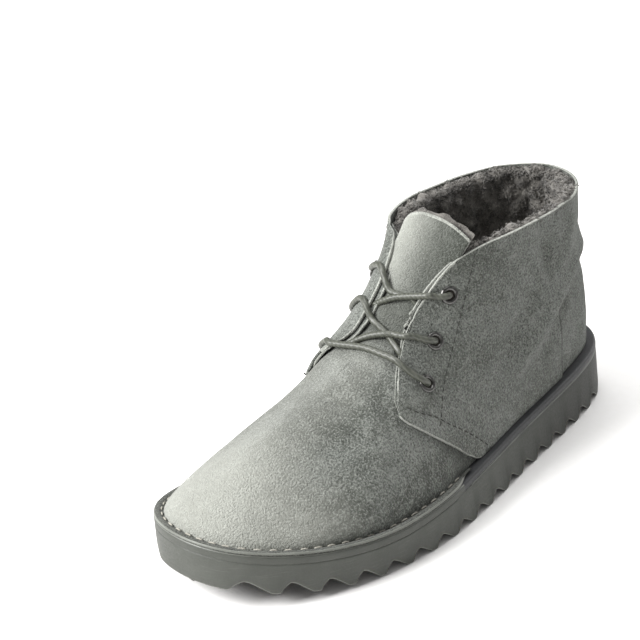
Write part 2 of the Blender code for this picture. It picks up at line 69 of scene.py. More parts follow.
# angle from the heel (0) to the toe (180), lateral width, medial width, flare of the side wall
OUTLINE = [
    (0, -1.5, 1.5, 0.8), (15, 17.0, 19.5, 1.0), (30, 30.5, 31.0, 1.4), (45, 37.5, 34.0, 1.8),
    (60, 42.0, 30.5, 2.2), (75, 46.5, 27.3, 2.8), (90, 52.5, 33.5, 3.0), (105, 57.6, 44.9, 1.6),
    (120, 55.5, 50.7, 0.0), (135, 46.2, 49.9, 0.0), (150, 32.5, 42.3, 0.0),
    (165, 16.2, 26.4, 0.0), (180, -4.2, 4.2, 0.0)]
# length along the sole, then the outsole's thickness or the height of the vamp's crown
THICKNESS = [(-150, 15.5), (-70, 15.5), (10, 19.0), (90, 23.2), (137, HEEL_THICKNESS)]
CROWN = [(-116, 49.5), (-107, 53.6), (-92, 59.0), (-75, 63.2), (-58, 67.9), (-40, 74.0)]
print("sole", SOLE_LENGTH, "mm long, from y", TOE_Y, "to", HEEL_Y)

# %% Curves through the tables


def by_key(rows, column, at):
    """A smooth curve through one column of a table, read at a value of its first column."""
    keys, values = [row[0] for row in rows], [row[column] for row in rows]
    at = min(max(at, keys[0]), keys[-1])
    step = max(i for i in range(len(keys) - 1) if keys[i] <= at)
    slopes = []
    for i in (step, step + 1):
        low, high = max(i - 1, 0), min(i + 1, len(keys) - 1)
        slopes.append((values[high] - values[low]) / (keys[high] - keys[low]))
    span = keys[step + 1] - keys[step]
    t = (at - keys[step]) / span
    return ((2 * t ** 3 - 3 * t ** 2 + 1) * values[step]
            + (t ** 3 - 2 * t ** 2 + t) * span * slopes[0]
            + (3 * t ** 2 - 2 * t ** 3) * values[step + 1]
            + (t ** 3 - t ** 2) * span * slopes[1])


def smooth_pass(a, b, c, d, t):
    """Catmull-Rom: a curve from b to c that leaves them in line with their neighbours."""
    return 0.5 * (2 * b + (c - a) * t + (2 * a - 5 * b + 4 * c - d) * t ** 2
                  + (3 * b - a - 3 * c + d) * t ** 3)


def curve_through(points, steps):
    """A smooth curve through a list of points, with a number of steps between each pair."""
    points = np.array(points, float)
    ends = np.vstack([2 * points[0] - points[1], points, 2 * points[-1] - points[-2]])
    out = [smooth_pass(*ends[i:i + 4], t)
           for i in range(len(points) - 1) for t in np.arange(steps) / steps]
    return np.array(out + [points[-1]])


def smooth_step(x, low, high):
    """Rises from 0 at low to 1 at high, with soft ends."""
    t = np.clip((np.asarray(x, float) - low) / (high - low), 0, 1)
    return t * t * (3 - 2 * t)


print("halfway round, the outline's lateral width is", by_key(OUTLINE, 1, 90), "mm")

# %% Lines of the sole


def floor_line(y):
    """Height of the tread's tips: the toe springs up from the floor."""
    return TOE_SPRING * (max(0.0, SPRING_START - y) / (SPRING_START - TOE_Y)) ** 2


def outsole_top(y):
    return floor_line(y) + by_key(THICKNESS, 1, y)


def midsole_top(y):
    return outsole_top(y) + MIDSOLE_THICKNESS


def outline_point(angle):
    """A point of the sole's outline, counted from the heel round the lateral side."""
    turn = angle if angle <= 180 else 360 - angle
    x = by_key(OUTLINE, 1, turn) if angle <= 180 else -by_key(OUTLINE, 2, turn)
    return np.array((x, SOLE_CENTRE + SOLE_LENGTH / 2 * math.cos(math.radians(turn))))


def inset_point(angle, margin):
    """The outline moved in by a margin."""
    run = outline_point((angle - 1.5) % 360) - outline_point((angle + 1.5) % 360)
    run = run / np.hypot(*run)
    return outline_point(angle % 360) + np.array((-run[1], run[0])) * margin


def flare(angle):
    return by_key(OUTLINE, 3, min(angle % 360, 360 - angle % 360))


sole_rim = np.array([inset_point(angle, -flare(angle)) for angle in range(360)])
ORIGIN = np.array([*(sole_rim.min(0) + sole_rim.max(0)) / 2, 0.0])
print("origin of the boot in the tables, mm", ORIGIN.round(2))

# %% Sections of the upper
Section = namedtuple("Section", "angle top_x top_y top_z rise lean out drop wall")
LATERAL = [Section(*row) for row in (
    (0, -1.0, 124.2, 121.5, 28, 3.2, -0.5, 30, 6.5),
    (16, 12.7, 120.6, 121.2, 28, 3.0, -0.8, 30, 6.5),
    (32, 24.2, 110.8, 120.6, 27, 2.2, -1.5, 30, 6.5),
    (48, 32.0, 94, 120, 25, 0.5, -3, 30, 6.5),
    (62, 35.5, 70, 120, 25, 1.0, -2, 30, 6.5),
    (71, 34.5, 46, 119.5, 21, 0.0, -1, 30, 6.5),
    (80.5, 29.5, 24, 117.5, 17, -1.0, 1, 30, 6.0),
    (87.5, 23.0, 9, 112, 14, -1.5, 3, 28, 5.0),
    (94.7, 18.0, -3, 102, 13, -1.5, 5, 25, 4.0),
    (102, 16.5, -14, 91, 13, -0.6, 7.5, 19, 3.8),
    (109.3, 17.3, -25, 80.6, 13.5, 0.0, 11, 12, 3.8),
    (115.2, 14.6, -33.4, 75.4, 13.2, 0.5, 15.5, 6.5, 3.8),
    (120.3, 8.0, -38.4, 73.7, 12.8, 0.7, 22.5, 2.6, 4.0),
    (125.2, 0.0, -40, 74.0, 12.4, 0.9, 31.5, 0, 4.2))]
MEDIAL = [Section(*row) for row in (
    (16, 12.7, 120.6, 121.2, 28, 3.0, -0.8, 30, 6.5),
    (32, 24.2, 110.8, 120.8, 27, 2.4, -1.5, 30, 6.5),
    (48, 31.5, 94, 120.2, 26, 2.5, -2, 30, 6.5),
    (62, 34.5, 70, 120.5, 25, 5.0, -1, 30, 6.5),
    (71, 33.5, 46, 121, 22, 6.0, 0, 30, 6.5),
    (80.5, 28.5, 26, 119.5, 19, 4.0, 1, 30, 6.0),
    (87.5, 22.5, 11, 113.5, 16, 1.5, 3, 28, 5.0),
    (94.7, 18.5, -1, 104, 14, 0.0, 5, 25, 4.0),
    (102, 18.0, -13, 92, 13.5, 0.0, 7, 19, 3.8),
    (109.3, 18.7, -25, 80.6, 13.5, 0.4, 10.5, 12, 3.8),
    (115.2, 15.4, -33.5, 75.2, 13.2, 0.6, 15, 6.5, 3.8),
    (120.3, 8.6, -38.4, 73.6, 12.8, 0.7, 22, 2.6, 4.0),
    (125.2, 0.0, -40, 74.0, 12.4, 0.9, 31.5, 0, 4.2))]
VAMP = [Section(*row) for row in (
    (131.0, 0, -46, 0, 11.6, 0.9, 29, 0, 4.3),
    (138.5, 0, -57, 0, 10.2, 0.8, 24, 0, 4.4),
    (147.5, 0, -72, 0, 8.4, 0.7, 18.5, 0, 4.4),
    (157.5, 0, -89, 0, 7.2, 0.6, 14, 0, 4.4),
    (168.5, 0, -105, 0, 6.2, 0.6, 10.5, 0, 4.4),
    (180, 0, -114.5, 0, 6.0, 0.8, 9, 0, 4.4))]
VAMP = [row._replace(top_z=by_key(CROWN, 1, row.top_y)) for row in VAMP]
ROWS = LATERAL + VAMP + [row._replace(angle=360 - row.angle) for row in reversed(VAMP[:-1])]
ROWS += [row._replace(angle=360 - row.angle, top_x=-row.top_x) for row in reversed(MEDIAL)]
COUNT = len(ROWS)
CROWN_FIRST = len(LATERAL) - 1                   # rows between which sections end on the crown
CROWN_LAST = CROWN_FIRST + 2 * len(VAMP)
print("sections", COUNT, "of which on the crown", CROWN_LAST - CROWN_FIRST + 1)

# %% The last's surface
FINE, HIGH = 24, 161             # surface columns for each row, and points up each column
BLENDED = 6                      # levels at the crown where both sides share one direction
MIDDLE_LINE = (-95.0, 90.0)      # y of the line down the foot that sections fan out from
FADE_ROWS, THROAT_ROWS, ROUNDS = 2.5, 1.5, 110   # how far and how often the throat is softened


def row_value(name, place):
    """One column of the sections, read between two rows."""
    step = int(math.floor(place))
    a, b, c, d = (getattr(ROWS[(step + shift) % COUNT], name) for shift in (-1, 0, 1, 2))
    if name == "angle":
        a, c, d = a - 360 * (a > b + 180), c + 360 * (c < b - 180), d + 360 * (d < b - 180)
    return smooth_pass(a, b, c, d, place - step)


def unit(vectors):
    return vectors / np.linalg.norm(vectors, axis=-1, keepdims=True)


def section_ends(place):
    """The four control points of one section, from the sole up to the top edge."""
    x, y = inset_point(row_value("angle", place) % 360, SHELF)
    foot = np.array((x, y, midsole_top(y) + GAP))
    top = np.array([row_value(name, place) for name in ("top_x", "top_y", "top_z")])
    if CROWN_FIRST <= place <= CROWN_LAST:
        top[0], top[2] = 0.0, by_key(CROWN, 1, top[1])
    beyond = max(CROWN_FIRST - place, place - CROWN_LAST, 0.0)
    edge = min(top[1], CROWN[-1][0])
    slope = by_key(CROWN, 1, edge) - by_key(CROWN, 1, edge - 1)
    slope *= max(0.0, 1 - beyond / FADE_ROWS) ** 2
    away = unit((foot - top)[:2])
    outward = unit(np.array((x, y - np.clip(y, *MIDDLE_LINE))))
    out, drop = row_value("out", place), row_value("drop", place)
    low = foot + np.array((*outward * row_value("lean", place), row_value("rise", place)))
    high = top + np.array((*away * out, -drop - out * max(0.0, -away[1]) * slope))
    return np.array((foot, low, high, top))


t = np.linspace(0, 1, HIGH)
weights = np.stack([(1 - t) ** 3, 3 * (1 - t) ** 2 * t, 3 * (1 - t) * t ** 2, t ** 3], 1)
LAST = np.array([weights @ section_ends(i / FINE) for i in range(COUNT * FINE)])
places = np.arange(COUNT * FINE) / FINE
near_throat = sum(np.exp(-((places - row) / THROAT_ROWS) ** 4)
                  for row in (CROWN_FIRST, CROWN_LAST))
for _ in range(ROUNDS):          # soften the end of the throat, where the sections fan out
    smoother = (np.roll(LAST, 1, 0) + 2 * LAST + np.roll(LAST, -1, 0)) / 4
    LAST += (smoother - LAST) * near_throat[:, None, None]
around = np.roll(LAST, -1, 0) - np.roll(LAST, 1, 0)
OUT = np.cross(np.gradient(LAST, axis=1), around)
OUT /= np.maximum(np.linalg.norm(OUT, axis=2, keepdims=True), 1e-9)
for column in range(CROWN_FIRST * FINE, (CROWN_FIRST + CROWN_LAST) * FINE // 2 + 1):
    twin = (CROWN_FIRST + CROWN_LAST) * FINE - column
    both = unit(OUT[column, -BLENDED - 1] + OUT[twin, -BLENDED - 1])
    for side in (column, twin):
        for k in range(BLENDED):
            share = (k + 1) / BLENDED
            OUT[side, k - BLENDED] = unit(OUT[side, -BLENDED - 1] * (1 - share) + both * share)
print("last", LAST.shape, "mm box", LAST.min((0, 1)).round(1), LAST.max((0, 1)).round(1))

# %% Places on the last


def on_last(row, up):
    """Points on the last and their outward directions. Lateral rows count up from the heel as
    positive numbers, medial rows as negative ones; up runs from 0 at the sole to 1 at the top."""
    row, up = np.broadcast_arrays(np.asarray(row, float), np.asarray(up, float))
    column, level = (row % COUNT) * FINE, np.clip(up, 0, 1) * (HIGH - 1)
    i, j = np.floor(column).astype(int), np.minimum(np.floor(level).astype(int), HIGH - 2)
    s, t = (column - i)[..., None], (level - j)[..., None]
    i, after = i % (COUNT * FINE), (i + 1) % (COUNT * FINE)
    place, out = ((field[i, j] * (1 - s) + field[after, j] * s) * (1 - t)
                  + (field[i, j + 1] * (1 - s) + field[after, j + 1] * s) * t
                  for field in (LAST, OUT))
    return place, unit(out)


print("collar at the heel, mm", on_last(0, 1)[0].round(1))

# %% [markdown]
# ## Camera, floor and light
# The boot stands on a plain white floor, seen from its toe and outer side, a little from above.
# A single lamp would leave black shadows, so this is a small studio: one broad soft key light at
# the left gives the form, a large lamp overhead and a wide one behind at the right lift the top
# and the far edge, and a pale world fills what they leave dark.

# %% Camera
AZIMUTH, ELEVATION, ROLL = (math.radians(angle) for angle in (43.88, 24.60, -4.12))
CAMERA_PLACE = Vector((0.4807, -0.5576, 0.4203))     # metres, in the frame of the tables
SKYWARD = Vector((0, 0, 1))
back = Vector((math.sin(AZIMUTH) * math.cos(ELEVATION), -math.cos(AZIMUTH) * math.cos(ELEVATION),
               math.sin(ELEVATION)))
across = SKYWARD.cross(back).normalized()
upward = back.cross(across)
right = across * math.cos(ROLL) + upward * math.sin(ROLL)
above = upward * math.cos(ROLL) - across * math.sin(ROLL)


def add_object(name, data):
    """Puts a new object with its data into the scene."""
    thing = bpy.data.objects.new(name, data)
    bpy.context.scene.collection.objects.link(thing)
    return thing


camera = add_object("camera", bpy.data.cameras.new("camera"))
camera.data.lens, camera.data.sensor_width = 94.5, 36.0
camera.matrix_world = Matrix((right, above, back)).transposed().to_4x4()
camera.matrix_world.translation = CAMERA_PLACE - Vector(ORIGIN * MM)
bpy.context.scene.camera = camera
bpy.context.scene.view_settings.view_transform = "Standard"
print("camera at", camera.matrix_world.translation)

# %% Lights and the pale world
AIM = Vector((0, 0, 0.05))       # the lamps look at the middle of the upper


def add_light(name, direction, distance, size, watts):
    """A round area lamp that looks at the boot from a direction, sizes in metres."""
    lamp = add_object(name, bpy.data.lights.new(name, "AREA"))
    lamp.data.shape, lamp.data.size, lamp.data.energy = "DISK", size, watts
    lamp.location = direction.normalized() * distance + AIM
    lamp.rotation_euler = (lamp.location - AIM).to_track_quat("Z", "Y").to_euler()


add_light("key", back * 0.4 - right + SKYWARD * 0.5, 1.8, 1.0, 60)
add_light("top", SKYWARD - back * 0.25, 1.8, 1.4, 24)
add_light("rim", right * 0.9 + SKYWARD - back * 0.9, 2.0, 1.6, 14)
world = bpy.data.worlds.new("white_room")
bpy.context.scene.world = world
world.use_nodes = True
background = world.node_tree.nodes["Background"]
background.inputs["Color"].default_value = (1, 1, 1, 1)
background.inputs["Strength"].default_value = 0.38
print("lamps", len(bpy.data.lights))

# %% [markdown]
# ## Finishes
# Every finish is a node material on a Principled shader, so it needs no image and no unwrapped
# map: its patterns are noise at the object's own coordinates. A pattern's scale is worked out
# from its size in millimetres. A finish starts from one colour, and layers of other colours are
# mixed over it, each through a mask that a noise or a coordinate drives.

# %% Colours and nodes


def hex_colour(text):
    """sRGB hex to the linear colour that a shader wants."""
    parts = [int(text[i:i + 2], 16) / 255 for i in (1, 3, 5)]
    return (*(c / 12.92 if c <= 0.04045 else ((c + 0.055) / 1.055) ** 2.4 for c in parts), 1.0)


def set_inputs(node, inputs):
    """Fills inputs: a node or a socket is linked, a hex colour or another value is set."""
    for name, value in inputs.items():
        if isinstance(value, bpy.types.Node):
            value = next(socket for socket in value.outputs if socket.enabled)
        if isinstance(value, bpy.types.NodeSocket):
            node.id_data.links.new(value, node.inputs[name])
        else:
            value = hex_colour(value) if isinstance(value, str) else value
            node.inputs[name].default_value = value


def add_node(tree, kind, inputs, **settings):
    """Adds a node with its settings, and fills its inputs."""
    node = tree.nodes.new("ShaderNode" + kind)
    for name, value in settings.items():
        setattr(node, name, value)
    set_inputs(node, inputs)
    return node


def start_finish(name):
    """A new material, its node tree, its shader and the object's own coordinates."""
    finish = bpy.data.materials.new(name)
    finish.use_nodes = True
    tree = finish.node_tree
    where = add_node(tree, "TexCoord", {}).outputs["Object"]
    return finish, tree, tree.nodes["Principled BSDF"], where


def grain(size):
    """Scale of a noise whose blobs are size millimetres across, for coordinates in metres."""
    return 1000.0 / size


def layered(tree, colour, layers):
    """Mixes tones over a colour. A layer is what drives its mask, the driver's values where the
    tone starts and is full, its greatest share, the tone and how the mask rises."""
    for driver, start, full, share, tone, rise in layers:
        mask = add_node(tree, "MapRange", {"Value": driver, "From Min": start, "From Max": full,
                                           "To Max": share}, interpolation_type=rise)
        colour = add_node(tree, "Mix", {0: mask, 6: colour, 7: tone}, data_type="RGBA")
    return colour


print("grain of 24 mm gives a scale of", round(grain(24), 1))

# %% [markdown]
# ## Suede
# Suede is the flesh side of a hide, sanded until its fibres stand up as a nap. It has no gloss,
# catches light along its edges, and is blotched where the nap lies in other directions. Real hair
# fibres would cost millions of faces, so the nap is a noise that moves colour and bump together.
# Real nap is finer, but tufts of about a millimetre are what the eye picks out. The toes and the
# vamp's top are paler as a painted highlight, the tongue is darker as painted shade with a painted
# highlight on its upper inner side, a dark band paints the shade at the heel's seam, and a cut
# edge shows the pale core of the hide.

# %% Suede
SOFT, EVEN = "SMOOTHSTEP", "LINEAR"              # how a mask rises
# pale tones of painted highlight: for the toes and the vamp's top, and for the tongue's upper
# inner side
PAINTED_HIGHLIGHT_TONE, TONGUE_HIGHLIGHT_TONE = "#b4b5ad", "#b6b8b0"


def suede(name, base, pale, deep, hollow, bite=1.0, toe=0.0, tongue=0.0, crown=0.0):
    """Sanded flesh side: no gloss, a nap of short tufts, clouds where the nap turns. bite is how
    strongly tufts show. toe and crown set how strong the painted highlight is on the toes and on
    the vamp away from its outer side. tongue sets how far painted shade darkens the tongue, with a
    painted highlight above on its inner side."""
    finish, tree, shader, where = start_finish(name)
    slanted = add_node(tree, "Mapping", {"Vector": where, "Rotation": (0.5, 0.0, 0.7),
                                         "Scale": (1.0, 0.45, 1.0)})
    cloud = add_node(tree, "TexNoise", {"Vector": slanted, "Scale": grain(24), "Detail": 2.0,
                                        "Distortion": 0.3})
    blotch = add_node(tree, "TexNoise", {"Vector": where, "Scale": grain(6.5), "Detail": 4.0,
                                         "Roughness": 0.6})
    tuft = add_node(tree, "TexNoise", {"Vector": where, "Scale": grain(0.9), "Detail": 2.6,
                                       "Roughness": 0.62})
    layers = [(cloud, 0.4, 0.58, 1.0, deep, EVEN), (blotch, 0.46, 0.7, 0.6, pale, EVEN),
              (tuft, 0.48, 0.68, bite, hollow, EVEN), (tuft, 0.48, 0.3, bite, pale, EVEN)]
    if toe or crown or tongue:
        place = add_node(tree, "SeparateXYZ", {"Vector": where}).outputs
    # painted highlight: the toe end is paler where the key light falls on it
    if toe:
        layers.append((place["Y"], -0.07, -0.118, toe, PAINTED_HIGHLIGHT_TONE, SOFT))
    # painted highlight on the vamp away from its outer side, which stays darker as painted shade
    if crown:
        layers.append((place["X"], 0.021, 0.002, crown, PAINTED_HIGHLIGHT_TONE, SOFT))
    # painted shade darkens the tongue between the laces and on its outer side; a painted highlight
    # pales its upper inner side
    if tongue:
        raised = add_node(tree, "MapRange", {"Value": place["Y"], "From Min": -0.008,
                                             "From Max": 0.004}, interpolation_type=SOFT)
        inner = add_node(tree, "MapRange", {"Value": place["X"], "From Min": 0.007,
                                            "From Max": -0.017})
        lit_inner_mask = add_node(tree, "Math", {0: raised, 1: inner}, operation="MULTIPLY")
        tone = add_node(tree, "Mix", {0: lit_inner_mask, 6: hollow, 7: TONGUE_HIGHLIGHT_TONE}, data_type="RGBA")
        layers.append((place["Y"], -0.03, -0.014, tongue, tone, SOFT))
    low = add_node(tree, "Bump", {"Height": blotch, "Strength": 0.5, "Distance": 0.0012})
    nap = add_node(tree, "Bump", {"Height": tuft, "Normal": low, "Strength": 1.0,
                                  "Distance": 0.0016})
    set_inputs(shader, {"Base Color": layered(tree, base, layers), "Normal": nap,
                        "Roughness": 0.95, "Specular IOR Level": 0.15, "Sheen Weight": 0.18,
                        "Sheen Roughness": 0.5})
    return finish


olive_grey_suede = suede("olive_grey_suede", "#6c6f6a", "#898c86", "#585b55", "#3e413b")
# the vamp carries a painted highlight on the toes and the top, and painted shade on the tongue
vamp_suede = suede("vamp_and_tongue_suede", "#6f726d", "#8a8d87", "#4b4e48", "#3b3e38",
                   toe=0.46, tongue=0.6, crown=0.2)
flange_suede = suede("flange_suede", "#50524d", "#65675f", "#454742", "#373934")
cut_suede = suede("cut_suede_edge", "#a9aba4", "#bfc1b9", "#92948d", "#6f716b", bite=0.5)
# painted shade: a dark band where the quarter's edge lies over the heel counter
seam_shade_suede = suede("seam_painted_shade", "#454742", "#565852", "#3a3c37", "#2c2e2a", bite=0.5)
print("suedes", len(bpy.data.materials))

# %% [markdown]
# ## Fleece
# The lining is sheared wool, a mass of curled fibres that swallows light: matt, with painted shade
# nearly black between its locks, and browner at the tips. The locks are real geometry later on;
# here a cell pattern paints shade into the gaps between them and a rough noise gives the curl.

# %% Fleece


def fleece(name, base, tip, root, size):
    """Curled wool with locks of a size in mm, painted shade of the colour root between them, and
    browner at the tips.
    """
    finish, tree, shader, where = start_finish(name)
    lock = add_node(tree, "TexVoronoi", {"Vector": where, "Scale": grain(size)})
    curl = add_node(tree, "TexNoise", {"Vector": where, "Scale": grain(1.1), "Detail": 3.0,
                                       "Roughness": 0.75, "Distortion": 1.2})
    bump = add_node(tree, "Bump", {"Height": curl, "Strength": 0.9, "Distance": 0.0009})
    # painted shade: the root colour darkens the gaps between the locks, where the geometry sinks
    layers = [(lock, 0.25, 0.85, 1.0, root, EVEN), (curl, 0.5, 0.72, 0.6, tip, EVEN)]
    set_inputs(shader, {"Base Color": layered(tree, base, layers), "Normal": bump,
                        "Roughness": 1.0, "Specular IOR Level": 0.1, "Sheen Weight": 0.3})
    return finish


# the last colour is the painted shade between the locks
charcoal_fleece = fleece("charcoal_wool_fleece", "#787570", "#b6b1a8", "#454340", size=6.5)
print("fleece locks 6.5 mm across")

# %% [markdown]
# ## Rubber
# The sole is expanded rubber from a mould: dull, with fine pores, dust that clings and a few
# long scuffs. Moulded rubber has an IOR near 1.5 and a weak, broad highlight. The pores are
# drawn about a millimetre across, coarser than the real ones, so that they show.

# %% Rubber


def rubber(name, base, dust, stain, gloss=0.55, heel=0.0):
    """Expanded rubber with dust and scuffs. gloss is its mean roughness, heel how strongly painted
    shade darkens it towards the heel, where the key light leaves it in shade."""
    finish, tree, shader, where = start_finish(name)
    patch = add_node(tree, "TexNoise", {"Vector": where, "Scale": grain(14), "Detail": 4.0})
    pore = add_node(tree, "TexNoise", {"Vector": where, "Scale": grain(0.9), "Detail": 2.0,
                                       "Roughness": 0.7})
    drawn = add_node(tree, "Mapping", {"Vector": where, "Scale": (1.0, 1.0, 14.0)})
    scuff = add_node(tree, "TexNoise", {"Vector": drawn, "Scale": grain(9), "Detail": 3.0})
    layers = [(patch, 0.4, 0.68, 0.5, dust, EVEN), (scuff, 0.58, 0.7, 0.45, stain, EVEN)]
    # painted shade: darker towards the heel, which the key light leaves in shade
    if heel:
        along = add_node(tree, "SeparateXYZ", {"Vector": where}).outputs["Y"]
        layers.append((along, -0.01, 0.1, heel, "#2e2f2b", SOFT))
    speck = add_node(tree, "MapRange", {"Value": pore, "From Min": 0.3, "From Max": 0.7,
                                        "To Min": gloss - 0.08, "To Max": gloss + 0.12})
    bump = add_node(tree, "Bump", {"Height": pore, "Strength": 0.25, "Distance": 0.0002})
    set_inputs(shader, {"Base Color": layered(tree, base, layers), "Roughness": speck,
                        "Normal": bump, "IOR": 1.5, "Specular IOR Level": 0.4})
    return finish


# the heel share darkens the sole's rear as painted shade
sole_rubber = rubber("expanded_sole_rubber", "#434540", "#4e504b", "#575953", heel=0.75)
# paler, glossier rubber for the painted highlights along rounded edges
sole_edge_highlight = rubber("sole_rubber_edge_highlight", "#676963", "#7d7f79", "#585a55", gloss=0.4)
# near-black brown rubber for painted shade under the sole and in the eyelets' holes
sole_shade = rubber("sole_rubber_painted_shade", "#2a2622", "#38332e", "#1f1c1a", gloss=0.75)
dark_rubber = rubber("dark_midsole_rubber", "#28292b", "#323335", "#202122", gloss=0.45)
print("rubbers", sole_rubber.name, sole_edge_highlight.name, sole_shade.name, dark_rubber.name)

# %% [markdown]
# ## Gunmetal, cord and thread
# The eyelets are brass, pressed and then plated to a dark gunmetal: a metal, so its colour is
# its reflection and it keeps the default IOR, under a thin clear coat. The lace is a round
# cotton cord, braided and waxed to a soft shine. The threads are a dark polyester and an
# off-white one. A cord's strands would be lost at this size, so slanting ribs stand for them.

# %% Gunmetal, cord and thread


def gunmetal_plate():
    """Brass plated dark: smooth from the press, with faint wear on the rolled rim."""
    finish, tree, shader, where = start_finish("gunmetal_plated_brass")
    rub = add_node(tree, "TexNoise", {"Vector": where, "Scale": grain(1.6), "Detail": 3.0})
    gloss = add_node(tree, "MapRange", {"Value": rub, "From Min": 0.3, "From Max": 0.7,
                                        "To Min": 0.24, "To Max": 0.42})
    tone = layered(tree, "#454442", [(rub, 0.45, 0.7, 1.0, "#5e5d5a", EVEN)])
    set_inputs(shader, {"Base Color": tone, "Roughness": gloss, "Metallic": 1.0,
                        "Coat Weight": 1.0, "Coat Roughness": 0.08})
    return finish


def cord_finish(name, base, pale, deep, pitch, gloss):
    """Twisted or braided yarn: slanting ribs at a pitch in mm, and darker soiled spots."""
    finish, tree, shader, where = start_finish(name)
    rib = add_node(tree, "TexWave", {"Vector": where, "Scale": grain(pitch) / 6.3,
                                     "Distortion": 2.5, "Detail": 2.0, "Detail Scale": 2.0},
                   bands_direction="DIAGONAL").outputs["Fac"]
    fuzz = add_node(tree, "TexNoise", {"Vector": where, "Scale": grain(1.5), "Detail": 3.0})
    bump = add_node(tree, "Bump", {"Height": rib, "Strength": 0.4, "Distance": 0.0002})
    layers = [(rib, 0.0, 1.0, 0.6, pale, EVEN), (fuzz, 0.45, 0.7, 0.5, deep, EVEN)]
    set_inputs(shader, {"Base Color": layered(tree, base, layers), "Normal": bump,
                        "Roughness": gloss})
    return finish


gunmetal = gunmetal_plate()
waxed_cord = cord_finish("waxed_cotton_cord", "#44463f", "#5b5d53", "#30322c", 0.8, 0.42)
dark_thread = cord_finish("dark_polyester_thread", "#2f302c", "#3b3c37", "#262723", 0.5, 0.7)
pale_thread = cord_finish("off_white_thread", "#99968c", "#b2afa5", "#77746c", 0.5, 0.7)
print("finishes", len(bpy.data.materials))

# %% [markdown]
# ## From points to pieces
# Every piece starts as points in millimetres, since the last is known as points. A sheet is a
# grid of points with faces between neighbours. The Solidify modifier gives it a thickness, which
# is quicker and cleaner than modelling both sides, and its rim can have a finish of its own.

# %% Pieces
WELD = 4e-6                      # metres within which points of one mesh are joined


def make_piece(name, points, faces, finishes, replaces=(), indices=None, sheet=None,
               rim=-1, one_sided=False):
    """A mesh object that rides on the boot. sheet is the thickness in mm of an open grid, rim
    which finish its cut edge takes, and one_sided keeps the faces of a grid as they are wound."""
    mesh = bpy.data.meshes.new(name)
    points = (np.asarray(points, float).reshape(-1, 3) - ORIGIN) * MM
    mesh.from_pydata(points.tolist(), [], faces)
    if indices is not None:
        mesh.polygons.foreach_set("material_index", indices)
    work = bmesh.new()
    work.from_mesh(mesh)
    bmesh.ops.remove_doubles(work, verts=work.verts, dist=WELD)
    if not sheet and not one_sided:
        bmesh.ops.recalc_face_normals(work, faces=work.faces)
    work.to_mesh(mesh)
    work.free()
    for finish in finishes:
        mesh.materials.append(finish)
    mesh.shade_smooth()
    thing = add_object(name, mesh)
    if sheet:
        thick = thing.modifiers.new("thickness", "SOLIDIFY")
        thick.thickness, thick.offset = sheet * MM, -1.0
        thick.material_offset_rim = rim % len(finishes)
        thick.use_even_offset = False
    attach(thing, "root")
    if replaces:
        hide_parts(*replaces)
    print(name, len(mesh.vertices), "points", len(mesh.polygons), "faces")
    return thing


def grid_faces(grid, closed=False, start=0, turned=False):
    """Faces of a grid of points, column by column, that look out when its columns go round the
    boot, or in when they are turned. start is the number of the grid's first point."""
    columns, rows = len(grid), len(grid[0])
    faces = []
    for i in range(columns if closed else columns - 1):
        a, b = start + i * rows, start + (i + 1) % columns * rows
        faces += [(a + j, a + j + 1, b + j + 1, b + j) for j in range(rows - 1)]
    return [face[::-1] for face in faces] if turned else faces


def wander(points, size, seed=0.0):
    """Smooth random values from -1 to 1 at points in mm, in blobs of a size."""
    points = np.asarray(points)
    flat = points.reshape(-1, 3) / size + seed
    return np.array([noise.noise(Vector(p)) for p in flat]).reshape(points.shape[:-1])


def unevenness(points):
    """How soft hide lies over a last: broad swells and small dents, in mm."""
    return 0.55 * wander(points, 31, 3.1) + 0.16 * wander(points, 8, 9.7)


def evened(line, rounds):
    """Rounds the corners of a line of points, whose ends stay."""
    line = np.array(line)
    for _ in range(rounds):
        line[1:-1] = (line[:-2] + 2 * line[1:-1] + line[2:]) / 4
    return line


print("unevenness at the heel's foot, mm", unevenness(on_last(0, 0)[0]).round(2))

# %% Tubes


def tube_points(path, radius, sides):
    """Rings of points round a path, carried along it without twist."""
    path = np.asarray(path, float)
    run = unit(np.gradient(path, axis=0))
    side = np.cross(run[0], (0.3, 0.2, 1.0))
    turn = np.arange(sides)[:, None] * 2 * math.pi / sides
    rings = []
    for point, way in zip(path, run):
        side = unit(side - way * (side @ way))
        other = np.cross(way, side)
        rings.append(point + (np.cos(turn) * side + np.sin(turn) * other) * radius)
    return np.array(rings)


def tube_faces(rings, sides, start=0):
    """Faces between the rings of a tube, and a cap at each end."""
    faces = []
    for i in range(rings - 1):
        a, b = start + i * sides, start + (i + 1) * sides
        faces += [(a + j, b + j, b + (j + 1) % sides, a + (j + 1) % sides) for j in range(sides)]
    last = start + (rings - 1) * sides
    return faces + [tuple(range(start, start + sides)), tuple(range(last, last + sides))[::-1]]


def tube_set(paths, radius, sides):
    """Points and faces of many short tubes in one mesh."""
    points, faces = [], []
    for path in paths:
        rings = tube_points(path, radius, sides)
        faces += tube_faces(len(rings), sides, len(points))
        points += list(rings.reshape(-1, 3))
    return points, faces


print("faces of a six-sided tube with seven rings", len(tube_faces(7, 6)))
